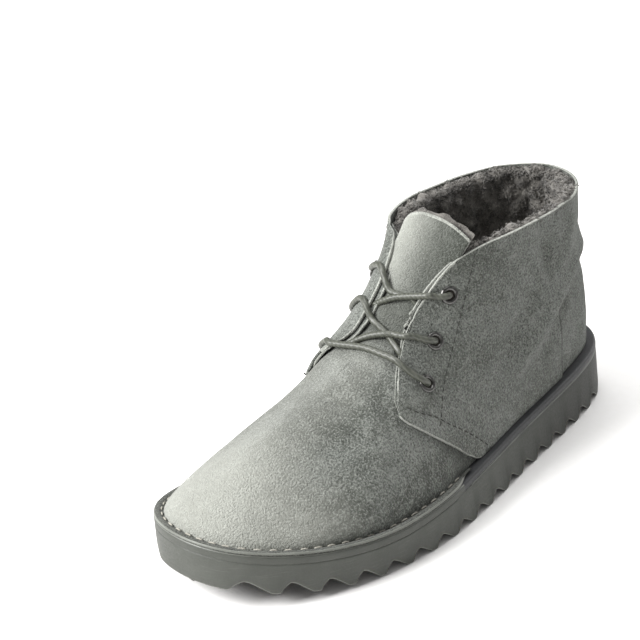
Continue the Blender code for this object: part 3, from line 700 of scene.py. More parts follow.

# %% [markdown]
# ## Creases
# Worn suede folds where the foot bends and sags between its seams. A cloth simulation would put
# folds where it likes, but here each has its place, so each is laid as a path over the
# last, with a width and a height in millimetres: a minus sign makes a trough.

# %% Creases
Crease = namedtuple("Crease", "path width height")
CREASES = [
    # long folds across the quarters, lateral and medial
    Crease([(2.9, .93), (4.2, .62), (5.6, .34)], 9, 1.6),
    Crease([(3.6, .93), (4.9, .60), (6.2, .32)], 8, -1.3),
    Crease([(-3.2, .93), (-4.6, .62), (-6.0, .34)], 9, 1.5),
    Crease([(-3.8, .93), (-5.2, .60), (-6.6, .32)], 8, -1.3),
    # upright folds by the heel
    Crease([(3.0, .98), (3.2, .80), (3.5, .62)], 5, 1.2),
    Crease([(3.5, .97), (3.7, .78), (4.0, .60)], 5, -1.2),
    Crease([(3.7, .98), (3.7, .86), (3.75, .74)], 3.5, 1.8),
    Crease([(4.3, .95), (4.1, .78), (3.9, .62)], 4, -2.1),
    # folds at the Achilles tendon
    Crease([(1.2, .55), (2.0, .50), (3.0, .44)], 5, -1.2),
    Crease([(0.6, .66), (1.6, .62), (2.8, .58)], 5, 1.2),
    Crease([(0.8, .80), (1.8, .76), (2.6, .74)], 4, -0.8),
    Crease([(-0.5, .60), (-1.6, .56), (-3.0, .50)], 6, -1.2),
    # the fold that runs forward off the counter, and the hollows on both sides of it
    Crease([(2.5, .66), (3.0, .60), (3.75, .50), (4.54, .375), (5.33, .31)], 4.5, 3.0),
    Crease([(2.7, .52), (3.3, .44), (4.0, .32), (4.6, .22)], 5, -2.0),
    Crease([(4.0, .72), (4.7, .58), (5.3, .45), (5.9, .38)], 6, -1.9),
    # soft breaks over the ball of the foot
    Crease([(10.8, .55), (11.6, .75), (12.2, .90)], 7, -0.7),
    Crease([(12.0, .35), (13.0, .62), (13.6, .90)], 8, -0.8),
    Crease([(26.4, .45), (25.6, .70), (25.0, .92)], 8, -0.7),
    Crease([(15.0, .30), (15.4, .60), (15.8, .9)], 12, 0.6),
    Crease([(13.2, .70), (14.0, .80), (15.0, .93), (16.0, .99)], 6, -1.2),
    Crease([(13.4, .60), (14.4, .72), (15.6, .88)], 4, 0.7),
]
HELD = 0.12                      # below this height the sole holds the foot of a sheet


def crease_heights(points):
    """Height of all folds at points in mm, fading to nothing at the ends of each path."""
    flat = np.asarray(points).reshape(-1, 3)
    total = np.zeros(len(flat))
    for crease in CREASES:
        line, _ = on_last(*curve_through(crease.path, 8).T)
        gap = np.linalg.norm(flat[:, None, :] - line[None, :, :], axis=2)
        fade = np.sin(np.pi * (gap.argmin(1) + 0.5) / len(line)) ** 0.7
        total += crease.height * fade * np.exp(-(gap.min(1) / crease.width) ** 2)
    return total.reshape(np.asarray(points).shape[:-1])


def dress(row, up, lift):
    """Points of a suede sheet over the last, with its folds and unevenness."""
    base, out = on_last(row, up)
    push = lift + (crease_heights(base) + unevenness(base)) * smooth_step(up, 0.0, HELD)
    return base + out * push[..., None]


print("creases", len(CREASES))

# %% [markdown]
# ## Vamp and tongue
# One piece of suede covers the toes and runs on up the instep as the tongue. Under the facings
# it dips to let them lie over it, and above them the tongue stands free with cut edges. Cloth
# would have to be sewn and draped to get this, but the last already gives the surface, so it is
# one mesh of five grids over the last, evened out where they meet at the end of the throat.

# %% Sections of the tongue
# the tongue's middle line: y, z, half width on the medial side and on the lateral side
TONGUE = [(-37.3, 74.3, 16.0, 16.0), (-30, 77.6, 18.0, 18.0), (-18, 85.0, 18.5, 18.5),
          (-8, 95.0, 16.5, 19.5), (2, 108.0, 14.5, 21.5), (11.5, 120.0, 13.2, 24.0),
          (19.5, 130.0, 13.0, 26.5)]
TONGUE_FOOT, TONGUE_TIP = TONGUE[0][0], TONGUE[-1][0]
INNER_CORNER, OUTER_CORNER = 3.2, 0.8            # mm that the tip's corners are cut down


def tongue_drop(y):
    """How fast the tongue falls away from its middle line, per square millimetre."""
    return 0.0085 + 0.0105 * float(smooth_step(y, -36, 4))


def tongue_section(y, share):
    """A cross section of the free tongue: x, the height, how far its corners are cut down, and
    how near the tip it is, from 0 to 1."""
    z, inner, outer = (by_key(TONGUE, k, y) for k in (1, 2, 3))
    x = np.where(share < 0, share * inner, share * outer)
    near_tip = float(smooth_step(y, 4, TONGUE_TIP))
    flat = np.where(share > 0, 1 - 0.42 * near_tip, 1.0)       # the outer side rests on the collar
    corner = near_tip * np.where(share < 0, INNER_CORNER * np.abs(share) ** 7,
                                 OUTER_CORNER * np.abs(share) ** 8)
    return x, z - tongue_drop(y) * flat * x ** 2 - corner, corner, near_tip


print("tongue from y", TONGUE_FOOT, "to", TONGUE_TIP, "mm")

# %% Sides of the vamp
WING, INSTEP, THROAT, TOE = 6.3, 9.0, (12.0, 13.0), 19.0   # rows; the throat closes between two
SIDE_LEVELS = 1 - np.linspace(0, 1, 60) ** 0.9   # ups from the top down, closer at the sole
UNDER = -0.7                     # mm that the vamp lies under the quarters


def vamp_side(side):
    """Columns of one side: across the throat from the middle line, then down to the sole."""
    columns = []
    rows = np.concatenate([np.linspace(INSTEP, THROAT[1], 45),
                           np.linspace(THROAT[1], TOE, 100)[1:]])
    for row in rows:
        place = row if side > 0 else COUNT - row
        edge, other = on_last(place, 1.0)[0], on_last(COUNT - place, 1.0)[0]
        middle_y = (edge[1] + other[1]) / 2
        middle_z = by_key(TONGUE, 1, edge[1]) if edge[1] > TONGUE_FOOT else edge[2]
        drop = tongue_drop(edge[1])
        fall_end = max(0.0, edge[2] - (middle_z - drop * edge[0] ** 2))
        lift = UNDER * smooth_step(12.2 - row, 0, 1.2)
        lift = lift - fall_end * smooth_step(SIDE_LEVELS, 0.72, 1.0)
        wall = dress(np.full_like(SIDE_LEVELS, place), SIDE_LEVELS, lift)
        share = np.linspace(0, 1, 17)[:-1]
        if row >= THROAT[1]:
            throat = np.repeat(wall[:1], len(share), 0)
        else:
            x, y = edge[0] * share, middle_y + (edge[1] - middle_y) * share
            z = np.array([by_key(TONGUE, 1, at) if at > TONGUE_FOOT else edge[2] for at in y])
            keep = smooth_step(row, *THROAT)
            z = z * (1 - keep) + edge[2] * keep - drop * x ** 2
            throat = np.stack([x, y, z], 1)
            throat[:, 2] += unevenness(throat)
        columns.append(np.vstack([throat, wall]))
    return np.array(columns)


def tongue_flap():
    """The free tongue above the throat: sections up its middle line, its corners cut down."""
    grid = []
    for y in np.linspace(-17.0, TONGUE_TIP, 42):
        x, z, corner, _ = tongue_section(y, np.linspace(-1, 1, 49))
        grid.append(np.stack([x + float(smooth_step(y, -14, TONGUE_TIP)), y - corner * 0.5, z], 1))
    grid = np.array(grid)
    grid[..., 2] += 0.5 * wander(grid, 31, 3.1) + 0.35 * wander(grid, 9, 4.7)
    return grid


def wing(side):
    """The vamp's wing, which runs back under the quarter."""
    rows = np.linspace(WING, INSTEP, 28)[:, None] * side
    return dress(rows + np.zeros(60), SIDE_LEVELS + np.zeros((28, 1)), UNDER)[:, 25:]


def sink_vamp(points):
    """On the inner side the vamp lies lower than the quarter's edge, which stands off it."""
    x, y, z = points[..., 0], points[..., 1], points[..., 2]
    share = np.exp(-((y + 50) / 34) ** 2) * smooth_step(-x, -4, 14) * smooth_step(z, 40, 62)
    return points + np.array((0.45, 0.0, -0.9)) * (1.6 * share)[..., None]


def bulge_tongue(points):
    """The tongue swells up between the laces."""
    x, y = points[..., 0], points[..., 1]
    swell = sum(np.exp(-((y - at) / 4.6) ** 2 - (x / 12.5) ** 2) for at in (-27.0, -13.0, 1.0))
    return points + np.array((0.0, -0.5, 0.8)) * (2.0 * swell)[..., None]


print("wing of the vamp", wing(1).shape)

# %% Vamp and tongue
points, faces, indices = [], [], []
for part, turned, cut in ((vamp_side(1), True, False), (vamp_side(-1), False, False),
                          (tongue_flap(), False, True), (wing(1), True, False),
                          (wing(-1), False, False)):
    part = bulge_tongue(sink_vamp(part))
    made = grid_faces(part, start=len(points), turned=turned)
    tip = len(made) - (part.shape[1] - 1)             # the last faces of a part with a cut tip
    indices += [int(cut and index >= tip) for index in range(len(made))]
    faces += made
    points += list(part.reshape(-1, 3))
vamp_piece = make_piece("vamp_and_tongue", points, faces, [vamp_suede, cut_suede],
                        ("upper", "tongue"), indices=indices, sheet=1.5)

# %% Soften the throat


def soften(thing, rounds, weight_at):
    """Evens out a mesh: points move towards their neighbours by a weight for their place."""
    work = bmesh.new()
    work.from_mesh(thing.data)
    chosen = []
    for vert in work.verts:
        weight = weight_at(np.array(vert.co) / MM + ORIGIN)
        if weight > 0.01 and not vert.is_boundary:
            near = [edge.other_vert(vert) for edge in vert.link_edges]
            chosen.append((vert, weight * 0.8, near))
    for _ in range(rounds):
        moved = [vert.co.lerp(sum((other.co for other in near), Vector()) / len(near), weight)
                 for vert, weight, near in chosen]
        for (vert, _, _), place in zip(chosen, moved):
            vert.co = place
    work.to_mesh(thing.data)
    work.free()
    print(thing.name, "softened", len(chosen), "points")


def at_throat(place):
    """Weight of a place near the end of the throat, where the five grids meet."""
    return math.exp(-((place[1] + 38) / 11) ** 4 - (place[0] / 17) ** 4) * (place[2] > 60)


soften(vamp_piece, 45, at_throat)

# %% [markdown]
# ## Heel counter and quarters
# The counter wraps the heel. The two quarters overlap it and the vamp, meet the collar and carry
# the eyelets. A quarter could be cut out of the last's grid, but then its edges would be stairs.
# Here it is drawn as a maker cuts it: a sheet between a bottom path and a top path over the
# last, so both edges are clean curves.

# %% Paths of the cut edges, as rows and ups
REAR_LOW = [(0, .66), (1.2, .645), (2.25, .612), (3.0, .575), (3.41, .50)]
REAR_TOP = [(0, 1), (1.2, 1), (2.2, 1), (2.9, 1), (3.35, 1)]
FRONT_LOW = [(3.33, 0), (3.55, 0), (4.4, 0), (5.8, 0), (7.15, 0), (7.67, .095), (8.21, .225),
             (8.88, .345), (9.75, .483), (10.3, .56), (10.6, .61)]
FRONT_TOP = [(3.35, 1), (3.65, 1), (4.6, 1), (5.9, 1), (6.9, .998), (7.5, .985), (8.15, .978),
             (8.85, .978), (9.5, .972), (10.08, .875), (10.55, .69)]
MEDIAL_LOW = FRONT_LOW[:8] + [(9.4, .44), (9.75, .51), (10.0, .575)]
MEDIAL_TOP = FRONT_TOP[:5] + [(7.5, 1), (8.15, 1), (8.85, 1), (9.8, 1), (10.7, .98),
                              (10.45, .78)]
LEVELS = (1 - np.cos(np.linspace(0, math.pi, 61))) / 2      # closer together at both cut edges
HALF = len(LEVELS) // 2
FOLD = 0.93                      # where the inner facing turns over
SIDES = ((1, "lateral"), (-1, "medial"))


def between(low, high, steps, share, side):
    """Rows and ups of a sheet between two paths, both smoothed, for one side of the boot."""
    low, high = curve_through(low, steps), curve_through(high, steps)
    share = np.asarray(share)[None, :, None]
    both = low[:, None, :] * (1 - share) + high[:, None, :] * share
    return np.stack([both[..., 0] * side, np.clip(both[..., 1], 0, 1)], -1)


print("quarter's front edges have", len(FRONT_LOW), "and", len(FRONT_TOP), "points")

# %% Facings
LIFT = 1.1                       # mm that the quarters lie over the last
LEAN = 6.0                       # mm that the inner facing leans over the tongue


def turned_over(rows):
    """How fully the inner facing folds over at a row: 0 not at all, 1 all the way."""
    return smooth_step(-rows, 6.0, 6.7) * (1 - smooth_step(-rows, 10.4, 10.9))


def before_fold(rows, ups):
    """Where a place on the last lies on a facing sheet that keeps its last part for the fold."""
    return ups / (1 + turned_over(rows) * (1 / FOLD - 1))


def facing(places, lift, reach=5.5):
    """A sheet over the last, from rows and ups, whose inner facing leans over the tongue and
    folds on to it. reach is how far the fold runs across."""
    rows, ups = np.asarray(places, float)[..., 0], np.asarray(places, float)[..., 1]
    along = turned_over(rows)
    points = dress(rows, np.clip(ups * (1 + along * (1 / FOLD - 1)), 0, 1), lift)
    lean = (smooth_step(-rows, 5.8, 7.2) * (1 - smooth_step(-rows, 9.8, 10.7))
            * smooth_step(ups, 0.76, 0.96))
    folded = along * np.clip((ups - FOLD) / (1 - FOLD), 0, 1)
    wave = (0.5 * wander(points, 6.0, 2.2) * smooth_step(ups, 0.9, 1.0)
            * smooth_step(np.abs(rows), 6.5, 8))
    wave = wave + (lift - LIFT) * 0.9 * np.clip(folded * 3, 0, 1)    # the lining folds under it
    return (points + np.array((1.0, 0, 0.2)) * (LEAN * lean)[..., None]
            + np.array((0, 0, 1.0)) * wave[..., None]
            + np.array((1.0, -0.2, 0.2)) * (reach * folded)[..., None])


def quarter_half(side):
    """Rows and ups of the rear and the front grid of one quarter, which share a column."""
    low, high = (FRONT_LOW, FRONT_TOP) if side > 0 else (MEDIAL_LOW, MEDIAL_TOP)
    front = between(low, high, 14, LEVELS, 1)
    bow = np.sin(math.pi * np.clip(front[..., 1] / 0.75, 0, 1))
    front[..., 0] += 0.09 * bow * np.exp(-((front[..., 0] - FRONT_LOW[0][0]) / 0.5) ** 2)
    rear = between(REAR_LOW, REAR_TOP, 12, (LEVELS[HALF:] - LEVELS[HALF]) * 2, 1)
    rear[-1] = front[0, HALF:]
    return rear * (side, 1), front * (side, 1)


print("the inner facing folds over the last", round((1 - FOLD) * 100), "% of its height")

# %% Quarters
COLLAR_EDGE, FACING_EDGE, SEAM = 2, 4, 3         # faces across each edge
points, faces, indices = [], [], []
for side, _ in SIDES:
    for in_front, grid in enumerate(quarter_half(side)):
        sheet = facing(grid, LIFT)
        for _ in range(3 if side < 0 and in_front else 0):       # round the inner facing's fold
            sheet[10:, 1:-1] = (sheet[10:, :-2] + 2 * sheet[10:, 1:-1] + sheet[10:, 2:]) / 4
        made = grid_faces(sheet, start=len(points), turned=side < 0)
        high = sheet.shape[1] - 1
        for column, level in (divmod(index, high) for index in range(len(made))):
            edge = level >= high - (FACING_EDGE if in_front and column > 54 else COLLAR_EDGE)
            edge = edge or (in_front and level < SEAM and column > 56)
            # the front grid's first columns, by the heel seam, carry that band of painted shade
            seam = in_front and level < HALF - 1 and column < SEAM
            indices.append(1 if edge else 2 if seam else 0)
        faces += made
        points += list(sheet.reshape(-1, 3))
make_piece("quarters", points, faces, [olive_grey_suede, cut_suede, seam_shade_suede],
           indices=indices, sheet=1.5, rim=0)

# %% Linings of the facings
LINING_PATHS = {
    1: ([(6.2, .55), (7.5, .5), (8.6, .5), (9.6, .55), (10.2, .585), (10.55, .63)],
        [(6.2, .994), (7.5, .998), (8.5, 1.0), (9.55, 1.0), (10.2, .885), (10.66, .70)]),
    -1: ([(6.2, .55), (7.5, .5), (8.6, .5), (9.4, .55), (10.0, .62), (10.3, .70)],
         [(6.2, .994), (7.5, .998), (8.5, 1.0), (9.6, 1.0), (10.6, .985), (10.58, .86)])}
PALE_EDGE = {1: 5, -1: 2}        # faces across the pale cut edge
for side, word in SIDES:
    grid = between(*LINING_PATHS[side], 14, 1 - (1 - np.linspace(0, 1, 40)) ** 1.6, side)
    lift = -0.9 + 0.6 * smooth_step(np.abs(grid[..., 0]), 9.2, 9.9)
    high = grid.shape[1] - 1
    band = [int(index % high >= high - PALE_EDGE[side]) for index in range(high * (len(grid) - 1))]
    make_piece("facing_lining_" + word, facing(grid, lift, 6.8), grid_faces(grid, turned=side < 0),
               [olive_grey_suede, cut_suede], indices=band, sheet=1.3)

# %% Heel counter
COUNTER_LOW = [(0, 0), (1, 0), (2, 0), (3, 0), (4.1, 0)]
COUNTER_TOP = [(0, .74), (1, .73), (2, .72), (3, .66), (4.1, .55)]
half = between(COUNTER_LOW, COUNTER_TOP, 14, np.linspace(0, 1, 40), 1)
grid = np.vstack([half[:0:-1] * (-1, 1), half])
make_piece("heel_counter", dress(grid[..., 0], grid[..., 1], -0.5), grid_faces(grid),
           [olive_grey_suede, cut_suede], sheet=1.0)

# %% [markdown]
# ## Fleece lining
# The lining is wool that fills the boot and shows above the collar. Particle hair would be the
# usual way, but it can't be exported as a mesh. So the fleece is a rolling surface whose points
# are pushed out into locks by a cell pattern, and short curls stand out of it.

# %% Fleece lining
PILE_FOOT = np.linspace(0.22, 0.965, 58)         # levels up the inside of the upper
ROLL = np.linspace(0.12, 2.7, 16)                # angles over the collar's edge
WALL_LEFT = 0.6                  # mm of the CAD wall left for the locks to rise in
ROLL_END = 1.2                   # mm behind the last's surface, where the roll ends


def locks(points, out, size, height):
    """Pushes points out into rounded locks of wool, a size across and a height deep, in mm."""
    push = []
    for point in points.reshape(-1, 3):
        near = noise.voronoi(Vector(point) / size)[0]
        small = noise.voronoi(Vector(point) / (size * 0.42))[0]
        push.append(height * (1.0 - min(near[0] * 1.35, 1.0)) + 0.3 * height * (0.6 - small[0]))
    return points + out * np.array(push).reshape(points.shape[:-1])[..., None]


def lining_points():
    """Columns up the inside of the upper that roll over at the collar, and their directions."""
    columns, ways = [], []
    for row in np.linspace(-8.6, 8.6, 460):
        wall = row_value("wall", row % COUNT) - WALL_LEFT
        base, out = on_last(np.full_like(PILE_FOOT, row), PILE_FOOT)
        top, top_out = on_last(row, 1.0)
        below = on_last(row, 0.955)[0]
        rise = unit(top - below)
        middle, radius = (wall + ROLL_END) / 2, (wall - ROLL_END) / 2
        front = float(smooth_step(row, 6.5, 7.6) if row > 0 else smooth_step(-row, 5.4, 6.6))
        # mm below the collar's edge: less on the outer side, more where the facings begin
        sink = 4.4 - 1.5 * float(smooth_step(row, 0.5, 2.0)) + 5.0 * front
        height = np.linalg.norm(top - below) - sink
        cos, sin = np.cos(ROLL)[:, None], np.sin(ROLL)[:, None]
        rolled = below - top_out * (middle + radius * cos) + rise * (height + radius * sin)
        lean = smooth_step(-row, 5.8, 7.2) * smooth_step(
            np.concatenate([PILE_FOOT, np.ones(len(ROLL))]), 0.5, 0.9)
        columns.append(np.vstack([base - out * wall, rolled])
                       + np.array((1.0, 0, 0)) * (7.5 * lean)[:, None])
        ways.append(np.vstack([-out, rise * sin - top_out * cos]))
    return np.array(columns), np.array(ways)


lining, lining_out = lining_points()
lining = locks(lining, lining_out, 7.5, 3.2)
make_piece("fleece_lining", lining, grid_faces(lining, turned=True), [charcoal_fleece],
           ("insole",), one_sided=True)

# %% Fleece on the insole and behind the tongue


def insole_points():
    """Rays from a line down the middle of the foot out to the fleece of the walls."""
    grid = []
    for angle in np.arange(120) * 3:
        x, y = inset_point(angle, SHELF + 6.5)
        middle_y = min(max(y, -110.0), 105.0)
        column = []
        for share in np.linspace(0, 1, 14):
            place_y = y * (1 - share) + middle_y * share
            column.append((x * (1 - share), place_y, midsole_top(place_y) + 4.6))
        grid.append(column)
    return np.array(grid), np.zeros((120, 14, 3)) + (0, 0, 1)


def tongue_back():
    """The fleece behind the free tongue, thinner at its sides, rolled over at its tip."""
    share = np.linspace(-0.96, 0.985, 66)
    depth = 2.9 - 1.6 * np.abs(share) ** 6
    grid, ways = [], []
    for y in np.linspace(-6.0, 21.0, 56):
        held = min(y, TONGUE_TIP)
        x, z, corner, near_tip = tongue_section(held, share)
        grid.append(np.stack([x + near_tip, y + depth * 0.75 - corner * 0.5,
                              z - depth * 0.66 + (y - held) * 0.8], 1))
        ways.append(np.tile((0, 0.75, -0.35 + 0.8 * float(smooth_step(y, 15, 20))), (len(x), 1)))
    return np.array(grid), np.array(ways)


insole, insole_out = insole_points()
make_piece("fleece_insole", locks(insole, insole_out, 6.0, 2.6), grid_faces(insole, closed=True),
           [charcoal_fleece], one_sided=True)
behind, behind_out = tongue_back()
make_piece("fleece_tongue_back", locks(behind, behind_out, 6.0, 3.2),
           grid_faces(behind, turned=True), [charcoal_fleece], one_sided=True)

# %% Curls


def curl_path(start, way):
    """A short helix of wool from just under the fleece outward."""
    way = unit(way)
    side = np.cross(way, [random.uniform(-1, 1) for _ in range(3)])
    side /= max(np.linalg.norm(side), 1e-6)
    other = np.cross(way, side)
    radius, reach = random.uniform(0.35, 0.8), random.uniform(0.7, 1.9)
    turns = random.uniform(3.0, 6.0)
    return [start + way * (reach * t - 0.4) + side * radius * (math.cos(turns * t) - 1)
            + other * radius * math.sin(turns * t) for t in np.linspace(0, 1, 6)]


def curl_paths(count, grid, ways, lowest):
    """Curls at random places of a fleece grid, above a share of its height."""
    for _ in range(count):
        i = random.randrange(1, grid.shape[0] - 1)
        j = min(int(random.uniform(lowest, 1) * grid.shape[1]), grid.shape[1] - 1)
        yield curl_path(grid[i, j], ways[i, j])


seen = np.abs(np.linspace(-8.9, 8.9, len(lining))) < 7.2         # the rows that the collar shows
points, faces = tube_set(curl_paths(3600, lining[seen], lining_out[seen], 0.45), 0.26, 3)
make_piece("fleece_curls", points, faces, [charcoal_fleece])

# %% [markdown]
# ## Sole
# The outsole is one block of rubber. Cutting ripples out of a block with booleans leaves messy
# faces, so it is built as columns of points, one column for each station along its length: down
# the side wall, which follows the outline and leans out a little at the waist, and across the
# bottom to the middle. Where the wall meets the top and the ripples, the edge is rounded and
# carries a painted highlight, and the bottom is painted shade. In front of the waist the two
# rubbers are ground flush.

# %% Ripples of the tread
LUG_PITCH, LUG_DEPTH, LUG_FLAT = 15.55, 5.6, 3.4
FIRST_NOTCH, LUG_COUNT = -141.0, 18
GROUND_FLUSH = (12, 34)          # mm in front of the tables' zero, where the edge closes
# each notch: share of the pitch along y, and share of the depth up from the floor
NOTCH = [(-0.25, 0.0), (-0.16, 0.62), (0.0, 1.0), (0.13, 0.82)]


def ripple_profile():
    """Bottom line of the outsole from toe to heel: flat tips, steep fronts, long rear slopes."""
    line = [(-165.0, floor_line(TOE_Y)), (TOE_Y, floor_line(TOE_Y))]
    notches = [FIRST_NOTCH + number * LUG_PITCH for number in range(LUG_COUNT)]
    for notch in (at for at in notches if at <= HEEL_Y - 8):
        for step, height in NOTCH:
            y = notch + step * LUG_PITCH
            line.append((y, floor_line(notch if height else y) + height * LUG_DEPTH))
        tip = notch + 0.75 * LUG_PITCH - LUG_FLAT
        line.append((tip, floor_line(tip)))
    line = [p for i, p in enumerate(line) if i == 0 or p[0] > line[i - 1][0]]
    return np.array(line + [(165.0, 0.0)])


ripple_y = np.arange(-150.4, 139.0, 0.4)
ripple_z = evened(np.interp(ripple_y, *ripple_profile().T), 2)
ripple_z = np.maximum(ripple_z, [floor_line(y) for y in ripple_y])
turns = np.radians(np.concatenate([np.arange(0, 34, 1.0), np.arange(146, 181, 1.0)]))
stations = np.concatenate([SOLE_CENTRE + SOLE_LENGTH / 2 * np.cos(turns), ripple_y])
stations = stations[(stations >= TOE_Y) & (stations <= HEEL_Y)]
stations = np.unique(np.round(stations, 3))[::-1]
stations[0], stations[-1] = HEEL_Y, TOE_Y
print("lugs", LUG_COUNT, "stations along the sole", len(stations))

# %% Outsole


def open_edge(y):
    """1 where the rubbers' edges stand open, 0 in front where they are ground flush."""
    return 1 - float(smooth_step(-y, *GROUND_FLUSH))


def outsole_column(side, y):
    """One column of points: in over the top edge, down the wall and across to the middle."""
    turn = math.degrees(math.acos(max(-1, min(1, (y - SOLE_CENTRE) / (SOLE_LENGTH / 2)))))
    angle = turn if side > 0 else (360 - turn) % 360
    top, bottom, spread = outsole_top(y), float(np.interp(y, ripple_y, ripple_z)), flare(angle)
    wide = open_edge(y)
    column = [(*inset_point(angle, 3.0 * wide + 3.0), top)]
    column += [(*inset_point(angle, margin * wide), top - fall * wide)
               for margin, fall in ((0.9, 0.0), (0.35, 0.15), (0.05, 0.6))]
    for share in np.linspace(0.05, 1, 9):
        z = top - 0.6 + (bottom + 1.3 - top) * share
        column.append((*inset_point(angle, -spread * (top - z) / max(top - bottom, 1)), z))
    column.append((*inset_point(angle, 0.2 - spread), bottom + 0.2))
    x_end, y_end = inset_point(angle, 0.8 - spread)
    return column + [(x_end * (1 - share), y_end * (1 - share) + y * share, bottom)
                     for share in (0, 0.33, 0.66, 1.0)]


walls = np.array([[outsole_column(side, y) for y in stations] for side, _ in SIDES])
TOP_EDGE, FOOT_EDGE = (1, 2), 12                 # levels of the edges that carry a painted highlight
faces, indices = [], []
for number, wall in enumerate(walls):
    made = grid_faces(wall, start=number * wall.shape[0] * wall.shape[1])
    for column, level in (divmod(index, wall.shape[1] - 1) for index in range(len(made))):
        # painted highlight on the rounded edges, painted shade on the bottom faces
        edge = (level in TOP_EDGE and stations[column] > -20) or level == FOOT_EDGE
        indices.append(1 if edge else 2 if level > FOOT_EDGE else 0)
    faces += made
make_piece("outsole_detail", walls, faces, [sole_rubber, sole_edge_highlight, sole_shade],
           ("outsole",), indices=indices)

# %% [markdown]
# ## Midsole and flange
# The midsole is a thin layer of dark rubber. Round the toe the vamp's edge is turned out on to
# it, pressed down as a flange and stitched through with off-white thread. Both are bands along
# the sole's outline. A curve with a bevel would give one profile all round, but theirs change,
# so both are swept: a profile is computed at each angle and joined to the next.

# %% Midsole


def ring_piece(name, profile_at, finishes, replaces, angles, pick, closed=True):
    """A band along the sole's outline. profile_at gives (margin, z) pairs at an angle, and pick
    the number of a face's finish from its level and angle."""
    grid = np.array([[(*inset_point(angle % 360, margin), z) for margin, z in profile_at(angle)]
                     for angle in angles])
    faces = grid_faces(grid, closed=closed)
    places = (divmod(index, grid.shape[1] - 1) for index in range(len(faces)))
    indices = [pick(level, angles[column]) for column, level in places]
    make_piece(name, grid, faces, finishes, replaces, indices=indices)


def midsole_profile(angle):
    """From inside under the edge, out and up over the rounded rim, and in over the top."""
    y = outline_point(angle % 360)[1]
    wide, high = open_edge(y), midsole_top(y)
    low = outsole_top(y) + 0.15 * wide
    return [(3.0, low), (0.35 * wide, low), (0.08 * wide, low + 0.4), (0.0, low + 1.2),
            (0.0, high - 1.3), (0.2, high - 0.5), (0.7, high - 0.1), (1.4, high),
            (SHELF + 0.5, high), (SHELF + 5.5, high + 0.2), (SHELF + 9, high + 0.2)]


def midsole_finish(level, angle):
    """Dark behind; in front the wall is buffed to the outsole's colour, with a painted highlight
    on its rim.
    """
    return 0 if level > 5 or not 98 < angle < 262 else 1 if level == 5 else 2


ring_piece("midsole_detail", midsole_profile, [dark_rubber, sole_edge_highlight, sole_rubber],
           ("midsole",), np.arange(0, 360, 1.2), midsole_finish)

# %% Flange


def flange_profile(angle):
    """From under the vamp, through the groove at its foot, and out over the flange's edge."""
    high = midsole_top(outline_point(angle % 360)[1])
    wide = 0.7 + 3.4 * float(smooth_step(min(angle, 360 - angle), 94, 101))
    end = SHELF - 0.3 - wide + 0.18 * noise.noise(Vector((angle * 0.35, 1.0, 0.0)))
    return [(SHELF + 3.0, high + 1.0), (SHELF + 1.3, high + 0.5), (SHELF + 0.3, high + 0.15),
            (SHELF - 0.5, high + 0.3), (SHELF - 1.3, high + 1.05), (SHELF - 2.3, high + 1.5),
            (end + 0.5, high + 1.55), (end + 0.1, high + 1.25), (end - 0.05, high + 0.7),
            (end + 0.1, high + 0.05)]


# the two levels round the flange's outer edge carry a painted highlight
ring_piece("stitched_down_flange", flange_profile, [flange_suede, sole_edge_highlight],
           ("vamp_flange",), np.linspace(94, 266, 260),
           lambda level, angle: int(level in (6, 7)), closed=False)

# %% [markdown]
# ## Stitches
# A stitch is a short thread that rises out of the suede, runs over it and goes back in, pulling
# a small groove. A bump in the suede's finish would look painted on, so each stitch is a little
# tube. A machine spaces them almost evenly, so their lengths and gaps vary by a few per cent.

# %% Stitches
WORN_AWAY = 0.0                  # share of stitches that wear has taken: none on this boot


def stitch_paths(line, outs, length, gap, radius, bow):
    """Paths of stitches along a line of points, each bowed out along the directions outs."""
    steps = np.linalg.norm(np.diff(line, axis=0), axis=1)
    steps = np.concatenate([[0], np.cumsum(steps)])
    at = 0.5
    while at + length < steps[-1]:
        reach = length * random.uniform(0.9, 1.08)
        if random.random() >= WORN_AWAY:
            start, end = ([np.interp(s, steps, line[:, k]) for k in range(3)]
                          for s in (at, at + reach))
            out = unit(np.array([np.interp(at, steps, outs[:, k]) for k in range(3)]))
            t = np.linspace(0, 1, 7)[:, None]
            rise = bow * np.sin(math.pi * t) ** 0.6 - radius * 0.9
            yield start * (1 - t) + end * t + out * rise
        at += length + gap * random.uniform(0.85, 1.15)


def stitch_row(name, line, outs, length, gap, radius, bow, thread):
    """One piece of all the stitches along a line, sizes in mm."""
    points, faces = tube_set(stitch_paths(line, outs, length, gap, radius, bow), radius, 6)
    make_piece(name, points, faces, [thread])


line, outs = [], []
for angle in np.linspace(97, 263, 400):
    sunk = 1 - float(smooth_step(angle, 124, 142))         # outside, the vamp hangs over them
    height = midsole_top(outline_point(angle)[1]) + 1.0 - 0.35 * sunk
    line.append((*inset_point(angle, SHELF - 0.85 + 1.1 * sunk), height))
    outs.append((*(inset_point(angle, 0) - inset_point(angle, 1)) * 0.25, 1.0))
stitch_row("flange_stitches", np.array(line), np.array(outs), 3.4, 3.4, 0.38, 0.42, pale_thread)

# %% Seams of the quarters
SEAMS = {
    "lower_stitches_": [(10.2, .63), (9.58, .544), (8.83, .45), (8.33, .369), (7.79, .281),
                        (7.33, .188), (6.96, .094), (6.77, .03)],
    "eyestay_stitches_": [(6.19, .985), (6.5, .85), (6.96, .731), (7.33, .662), (7.75, .60),
                          (8.25, .525), (8.58, .444), (8.83, .388)]}
for side, word in SIDES:
    for name, seam in SEAMS.items():
        rows, ups = curve_through(seam, 30).T * ((side,), (1,))
        line = facing(np.stack([rows, before_fold(rows, ups)], -1), LIFT)
        stitch_row(name + word, line, on_last(rows, ups)[1], 2.6, 1.5, 0.36, 0.34, dark_thread)

